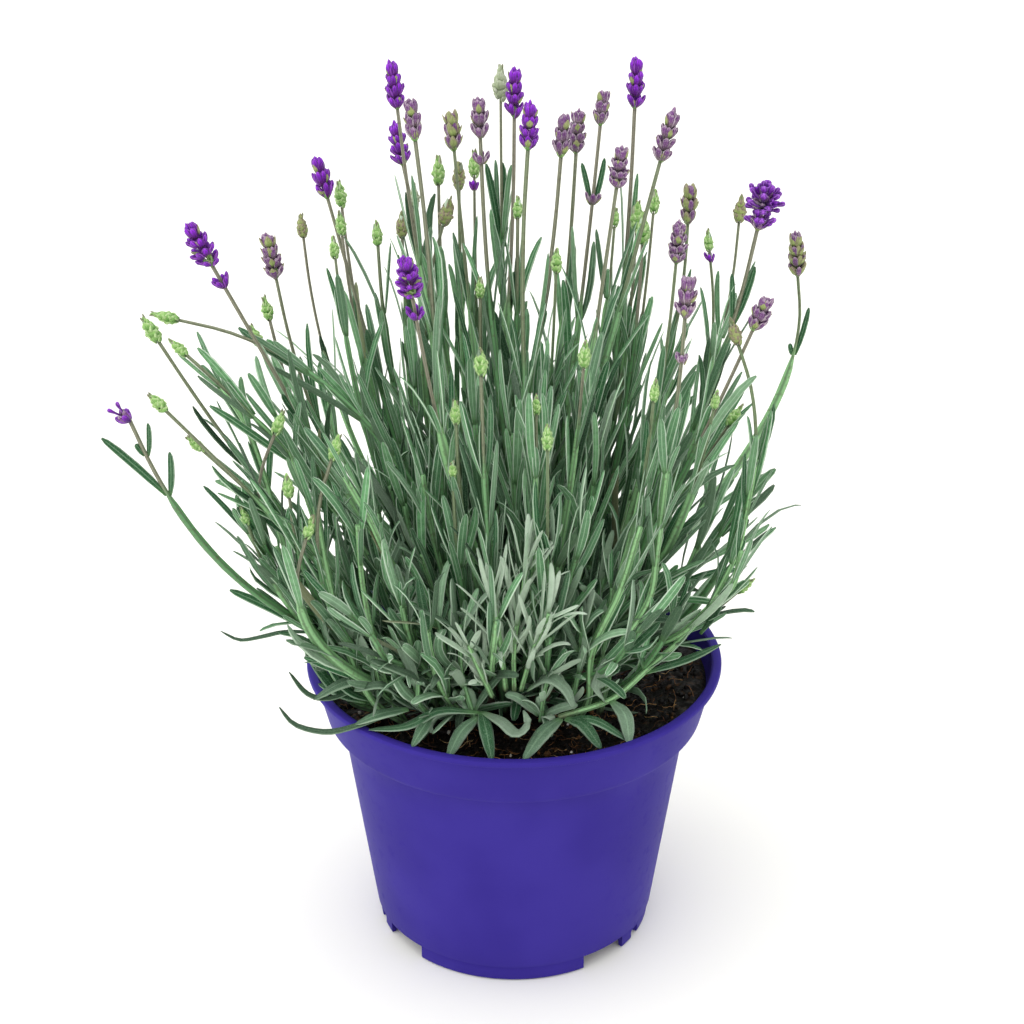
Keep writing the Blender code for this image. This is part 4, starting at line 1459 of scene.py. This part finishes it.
def green_bud(head, length):
    """Overlapping bracts in turned pairs, closed over each other, and two small horns."""
    head.ring(bud, LEAF, -0.3, [0], 0.92 * length, 0.26 * length, 0, 0, 0)
    for k, share in enumerate(BUD_RINGS):
        up, wide = length * (0.098 * k - 0.02), share * length
        turns = k * 90 + PAIR
        head.ring(bract, SCALE, up, turns, 0.31 * length, 1.22 * wide, 34 - 4 * k, -34, 0.27 * wide)
    turns = head.dice.uniform(0, 180) + PAIR
    head.ring(bud, HORN, 0.70 * length, turns, 0.30 * length, 1.1, 12, -6, 0.3)


pale_green = bract_finish(
    "pale_bract", (0.16, 0.22, 0.11), (0.36, 0.44, 0.25), (0.46, 0.52, 0.36), (0.52, 0.56, 0.44)
)
brown_tip = petal_finish(
    "bud_horn", ((0.0, (0.14, 0.30, 0.07)), (0.6, (0.26, 0.36, 0.14)), (1.0, (0.34, 0.26, 0.20))),
    (0.08, 0.10, 0.05), (0.50, 0.56, 0.36), (0.5, 0.5, 0.4), 0.3,
)
BUD_FINISH = {"green": fresh_green, "olive": olive, "pale": pale_green}
CROWN_REACH = 0.80 * crown_high.x
bud_dice = np.random.default_rng(59)


def standing_foot(tip, dice):
    """A place on the crown, or in the soil beside it, that faces the tip."""
    x, y = 0.30 * tip[0] + dice.normal(0, 6 * MM), 0.30 * tip[1] + dice.normal(0, 6 * MM)
    keep = min(1.0, 1.2 * CROWN_REACH / max(math.hypot(x, y), 1e-6))
    return np.array([x * keep, y * keep, crown_high.z - 14 * MM])


for i, (x, y, height, lean, long, *colour) in enumerate(GREEN_BUDS, 1):
    across = (x / 1000 * half_width, y / 1000 * half_width)
    tip = np.array([*across, soil_high.z + height / 1000 * plant_height])
    line = grown_line(standing_foot(tip, bud_dice), tip, lean)
    growth = Growth()
    leafy_to = bud_dice.uniform(0.66, 0.82)
    thick, pale = (2.4, 0.75) if i % 4 == 1 else (1.7, 0.0)
    mauve = bud_dice.uniform(0.2, 1.0)
    add_stem(growth, line, thick, bud_dice, leafy_to + 0.02, stalk=0.75, mauve=mauve, pale=pale)
    leaf_long = 20 if i == SHORT_LEAVED else 37
    add_leaves(
        growth, line, bud_dice, 0.10, leafy_to, step=23, long=leaf_long, wide=3.4, tuft=2, spread=12
    )
    if i == PALE_STEM:
        add_pair(growth, line, 0.76, 34, 3.4, 5)
    head = Head(growth, tip, unit(line[-1] - line[-2]), bud_dice)
    green_bud(head, 1.02 * long)
    if i in PURPLE_BELOW:
        head.ring(bud, WHORL, -PURPLE_BELOW[i], CROSS, 4.2, 2.0, 24, -8, 0.6)
    bud_finish = BUD_FINISH[colour[0] if colour else "green"]
    finishes = [*GREENS, bud_finish, brown_tip, violet]
    growth.become(f"budding_stem_{i:02d}", "leaf_grey_green", finishes)
print("stems in green bud:", len(GREEN_BUDS))

# %% [markdown]
# ## The body of the bush
# Between the flowering stems stand many more leafy shoots. They are grown in rings: upright
# ones in the middle, leaning ones round them. The dice are seeded, so the bush is always the
# same, and it stays open at the right front, where the soil shows.

# %% Grow the filling shoots
BARE_FROM, BARE_TO = math.radians(285), math.radians(345)
PER_PIECE = 5
fill_dice = np.random.default_rng(71)


def grow_ring(name, count, reach, height, lean, keep_soil=False, **habit):
    """Shoots in a ring, a few to a piece. reach, height and lean are (least, most)."""
    dice = fill_dice
    for start in range(0, count, PER_PIECE):
        growth = Growth()
        for k in range(start, min(start + PER_PIECE, count)):
            heading = math.tau * (k + dice.uniform(0.1, 0.9)) / count
            far = dice.uniform(*reach) * half_width
            if keep_soil and BARE_FROM < heading < BARE_TO:
                far = reach[0] * half_width * 0.5
            tip = np.array([far * math.cos(heading), far * math.sin(heading), 0.0])
            tip[2] = soil_high.z + dice.uniform(*height) * plant_height
            line = grown_line(standing_foot(tip, dice), tip, dice.uniform(*lean))
            leafy_shoot(growth, line, dice, **habit)
        growth.become(f"{name}_{start // PER_PIECE + 1}", "leaf_grey_green", GREENS)


grow_ring("inner_shoots", 24, (0.05, 0.38), (0.30, 0.52), (2, 12), spread=12, long=40, step=15)
grow_ring("outer_shoots", 24, (0.36, 0.60), (0.20, 0.44), (6, 18), spread=13)
grow_ring(
    "base_shoots", 20, (0.18, 0.42), (0.10, 0.24), (10, 34), keep_soil=True,
    spread=20, long=28, wide=3.9, step=9, blade=bent_leaf, loose=14,
)

# %% [markdown]
# ## The base of the plant
# Round the base the leaves are old: broad, silvery, felted, bent and hooked. The front ones are
# placed one by one, because they are what the eye meets first: short silvery shoots, blunt
# leaves that lie over the soil or hang over the lip, and a stem that lies across the soil on the
# right. Places are in hundredths of the lip's radius, from the middle of the soil's top.

# %% Places at the base
FRONT_SHOOTS = (
    # leaf length and width in mm, silver, foot, tip
    (29, 3.6, 0.35, (-18, -66, 22), (-24, -72, 74)), (29, 3.4, 0.15, (-30, -58, 22), (-36, -70, 82)),
    (27, 3.6, 0.2, (-42, -55, 20), (-50, -68, 60)), (28, 3.5, 0.3, (26, -60, 25), (30, -68, 70)),
    (24, 3.8, 0.25, (-55, -48, 20), (-63, -62, 46)), (29, 3.4, 0.1, (36, -45, 25), (44, -52, 82)),
    (21, 3.6, 0.15, (-64, -38, 20), (-76, -46, 50)), (21, 3.5, 0.1, (-68, -24, 20), (-80, -30, 56)),
    (21, 3.4, 0.05, (-66, -4, 20), (-80, -8, 60)), (22, 3.8, 0.3, (-36, -62, 20), (-43, -74, 46)),
    (22, 3.6, 0.45, (12, -64, 20), (15, -74, 50)), (30, 3.5, 0.0, (-45, -22, 15), (-63, -29, 80)),
    (30, 3.5, 0.0, (-50, -8, 15), (-68, -10, 86)), (27, 3.5, 0.05, (-52, -34, 15), (-74, -37, 72)),
    (26, 3.6, 0.0, (36, -4, 15), (66, -6, 56)), (26, 3.6, 0.0, (34, 14, 15), (72, 16, 50)),
    (26, 3.5, 0.05, (42, -20, 20), (72, -24, 62)),
)
SILVER_TUFT = (
    # leaf length in mm, route from foot to tip
    (26, (0, -65, 37), (0, -71, 62), (3, -74, 88), (6, -76, 110)),
    (24, (-4, -65, 37), (-6, -72, 62), (-8, -76, 80), (-10, -78, 96)),
    (24, (3, -65, 37), (7, -74, 58), (11, -80, 74), (15, -84, 86)),
    (22, (-10, -66, 34), (-16, -75, 54), (-20, -80, 68)),
)
FAN_STEMS = (
    # share where the leaves start, leaf length in mm, route from foot to tip
    (0.6, 30, (-50, -38, 2), (-58, -52, 29), (-63, -61, 58), (-67, -68, 92), (-68, -73, 124)),
    (0.45, 26, (-62, -26, 2), (-77, -33, 12), (-85, -47, 38), (-94, -56, 66), (-97, -58, 95)),
    (0.4, 24, (-60, -22, 2), (-74, -31, 14), (-82, -42, 56), (-87, -45, 84)),
    (0.4, 30, (-36, -36, 10), (-44, -47, 48), (-51, -66, 88), (-61, -71, 121), (-73, -71, 146)),
    (0.3, 26, (-58, -30, 2), (-72, -42, 24), (-89, -52, 56), (-105, -54, 86), (-118, -52, 110)),
    (0.35, 28, (-50, -42, 4), (-65, -59, 28), (-76, -66, 63), (-83, -71, 106), (-86, -71, 132)),
    (0.25, 26, (-60, -10, 2), (-76, -20, 24), (-93, -32, 60), (-108, -36, 95)),
    (0.25, 26, (-60, 5, 2), (-78, 0, 26), (-98, -10, 66), (-116, -14, 105)),
    (0.45, 24, (-60, -25, 5), (-90, -45, 53), (-102, -40, 90), (-113, -33, 132), (-120, -31, 155),
     (-130, -28, 170)),
    (0.4, 26, (-55, -20, 5), (-80, -35, 57), (-88, -35, 98), (-100, -35, 143), (-108, -35, 166)),
    (0.45, 30, (28, -50, 10), (34, -61, 30), (35, -66, 58), (47, -68, 90), (55, -66, 120)),
    (0.5, 30, (40, -40, 10), (46, -58, 52), (60, -60, 80), (63, -61, 105), (66, -61, 145)),
)
LYING_STEM = (
    (20, -74, 28), (44, -65, 32), (59, -53, 39), (80, -38, 52), (91, -34, 66), (102, -31, 90),
    (106, -28, 110), (109, -26, 134),
)
BASE_LEAVES = (
    # width in mm, silver, route from foot to tip
    (5.6, 0.1, (-15, -72, 30), (-13, -82, 28), (-10, -93, 17)),
    (5.2, 0.9, (-14, -73, 30), (-6, -82, 31), (1, -88, 28), (6, -89, 34), (4, -88, 40)),
    (4.6, 0.2, (-16, -73, 30), (-34, -73, 31), (-48, -78, 26), (-66, -73, 21)),
    (6.0, 0.5, (-16, -73, 28), (-24, -80, 24), (-30, -88, 15)),
    (6.6, 0.5, (21, -75, 28), (13, -85, 27), (4, -94, 18)),
    (6.0, 0.1, (23, -75, 28), (31, -80, 28), (39, -86, 19)),
    (4.8, 0.1, (24, -75, 28), (37, -77, 28), (52, -78, 18)),
    (6.2, 0.8, (6, -70, 40), (15, -76, 50), (23, -79, 46), (27, -80, 36)),
    (6.8, 0.9, (41, -67, 32), (38, -70, 42), (41, -70, 56)),
    (6.2, 0.7, (44, -66, 32), (50, -74, 29), (52, -81, 18)),
    (4.2, 0.1, (60, -53, 39), (80, -45, 42), (96, -35, 44)),
    (4.6, 0.2, (60, -52, 40), (55, -53, 60), (53, -55, 78)),
    (3.6, 0.1, (86, -36, 50), (93, -33, 60), (98, -30, 74)),
    (7.0, 0.0, (40, -55, 60), (60, -50, 66), (76, -45, 62)),
    (3.4, 0.3, (-56, -68, 26), (-70, -70, 22), (-85, -70, 18), (-100, -67, 20), (-107, -65, 28)),
    (3.0, 0.3, (-72, -56, 32), (-85, -57, 28), (-95, -56, 30), (-103, -54, 40)),
    (2.6, 0.2, (-88, -42, 54), (-105, -41, 54), (-116, -40, 51), (-127, -38, 48), (-136, -35, 51)),
    (6.2, 0.4, (-62, -58, 40), (-78, -60, 38), (-92, -58, 28)),
    (5.4, 0.4, (-48, -70, 30), (-60, -74, 30), (-72, -73, 24)),
    (5.2, 0.4, (-38, -74, 28), (-42, -83, 26), (-46, -86, 20)),
    (5.0, 0.6, (-52, -66, 34), (-60, -72, 44), (-72, -74, 42)),
    (5.0, 0.0, (-68, -54, 24), (-82, -48, 27), (-97, -38, 42)),
    (4.6, 0.0, (-68, -50, 22), (-80, -48, 25), (-91, -42, 27)),
    (4.0, 0.1, (-68, -44, 24), (-82, -38, 36), (-92, -30, 52)),
    (4.4, 0.0, (-66, -56, 26), (-76, -58, 33), (-86, -52, 45)),
)

# %% Grow the base
BASE_TAPER = np.array([0.80, 1.0, 1.0, 0.85, 0.60])
base_dice = np.random.default_rng(83)


def spot(x, y, z):
    return (x / 100 * LIP * MM, y / 100 * LIP * MM, soil_high.z + z / 100 * LIP * MM)


def route_through(places, count):
    return evenly([spot(*place) for place in places], count)


for i, (long, wide, silver, foot, tip) in enumerate(FRONT_SHOOTS, 1):
    line = np.array([spot(*foot), spot(*[(a + b) / 2 for a, b in zip(foot, tip)]), spot(*tip)])
    line[1] += base_dice.normal(0, 1.5 * MM, 3)
    growth = Growth()
    leafy_shoot(
        growth, line, base_dice, long, wide, step=8.5, thick=1.1, spread=23, silver=silver,
        blade=bent_leaf, loose=20, pale=0.6,
    )
    growth.become(f"front_shoot_{i}", "leaf_grey_green", GREENS)

growth = Growth()
for long, *route in SILVER_TUFT:
    line = route_through(route, 24)
    leafy_shoot(
        growth, line, base_dice, long, wide=2.3, step=4.4, thick=1.1, spread=19, silver=1.0,
        blade=bent_leaf, loose=14, start=0.3, pale=1.0,
    )
growth.become("silver_tuft", "leaf_grey_green", GREENS)

growth = Growth()
for start, long, *route in FAN_STEMS:
    line = route_through(route, 30)
    leafy_shoot(
        growth, line, base_dice, long, wide=3.2, step=16, thick=1.45, spread=15, silver=0.0,
        loose=12, start=start, pale=0.9,
    )
growth.become("fan_stems", "leaf_grey_green", GREENS)

growth = Growth()
lying = route_through(LYING_STEM, 60)
add_stem(growth, lying, 1.2, base_dice, ALL_GREEN, pale=1.0)
add_leaves(
    growth, lying, base_dice, 0.56, 0.99, step=17, long=21, wide=3.2, tuft=1, spread=13,
    blade=bent_leaf, loose=2,
)
for wide, silver, *route in BASE_LEAVES:
    line = route_through(route, 24)
    copy = swept(bent_leaf, line, wide * MM * BASE_TAPER, (0.0, -0.25, 1.0))
    growth.add(bent_leaf, copy, LEAF, [[base_dice.uniform(0.02, 0.30), 0.48 * silver, 0.0]])
growth.become("lying_stem_and_base_leaves", "leaf_grey_green", GREENS)

# %% [markdown]
# ## Stage, light and camera
# The stage is a pale floor without an edge in view. A broad sun from the upper left gives the
# soft shadow, and a white sky fills it, brighter overhead than at the horizon. The camera looks
# down at the pot by about 26 degrees.

# %% Stage, sky and sun
FLOOR_RADIUS = 9.0
SKY_LOW, SKY_HIGH = 0.62, 1.55
SUN_STRENGTH, SUN_SPREAD, SUN_TILT, SUN_HEADING = 0.85, 80, 46, -55

floor = disc("studio_floor", 96, FLOOR_RADIUS, -0.5 * MM)
floor_finish = Finish("studio_floor", 0.9, specular=0.1)
floor_finish.colour = (0.96, 0.955, 0.90)
floor.data.materials.append(floor_finish.done())

world = bpy.data.worlds.new("studio")
bpy.context.scene.world = world
world.use_nodes = True
world.node_tree.nodes["Background"].inputs["Color"].default_value = (1.0, 1.0, 1.0, 1.0)
direction = world.node_tree.nodes.new("ShaderNodeTexCoord")
parts = world.node_tree.nodes.new("ShaderNodeSeparateXYZ")
height = world.node_tree.nodes.new("ShaderNodeMapRange")
height.inputs["To Min"].default_value = SKY_LOW
height.inputs["To Max"].default_value = SKY_HIGH
world.node_tree.links.new(direction.outputs["Generated"], parts.inputs[0])
world.node_tree.links.new(parts.outputs["Z"], height.inputs["Value"])
world.node_tree.links.new(height.outputs[0], world.node_tree.nodes["Background"].inputs["Strength"])
sun = bpy.data.lights.new("key", "SUN")
sun.energy = SUN_STRENGTH
sun.angle = math.radians(SUN_SPREAD)
lamp = bpy.data.objects.new("key", sun)
lamp.rotation_euler = (math.radians(SUN_TILT), 0, math.radians(SUN_HEADING))
bpy.context.scene.collection.objects.link(lamp)

# %% Camera
CAMERA_DISTANCE = 0.876
CAMERA_DOWN = 25.7
CAMERA_LENS = 77.3
AIM_HEIGHT = 0.186
down = math.radians(CAMERA_DOWN)
lens = bpy.data.cameras.new("camera")
lens.lens = CAMERA_LENS
camera = bpy.data.objects.new("camera", lens)
back, up = CAMERA_DISTANCE * math.cos(down), CAMERA_DISTANCE * math.sin(down)
camera.location = (-0.9 * MM, -back, AIM_HEIGHT + up)
camera.rotation_euler = (math.pi / 2 - down, 0, 0)
bpy.context.scene.collection.objects.link(camera)
bpy.context.scene.camera = camera
bpy.context.scene.view_settings.view_transform = "Standard"

# %% [markdown]
# ## Sizes
# The dressed plant may stand a little proud of the frame.

# %% Update the scene
bpy.context.view_layer.update()
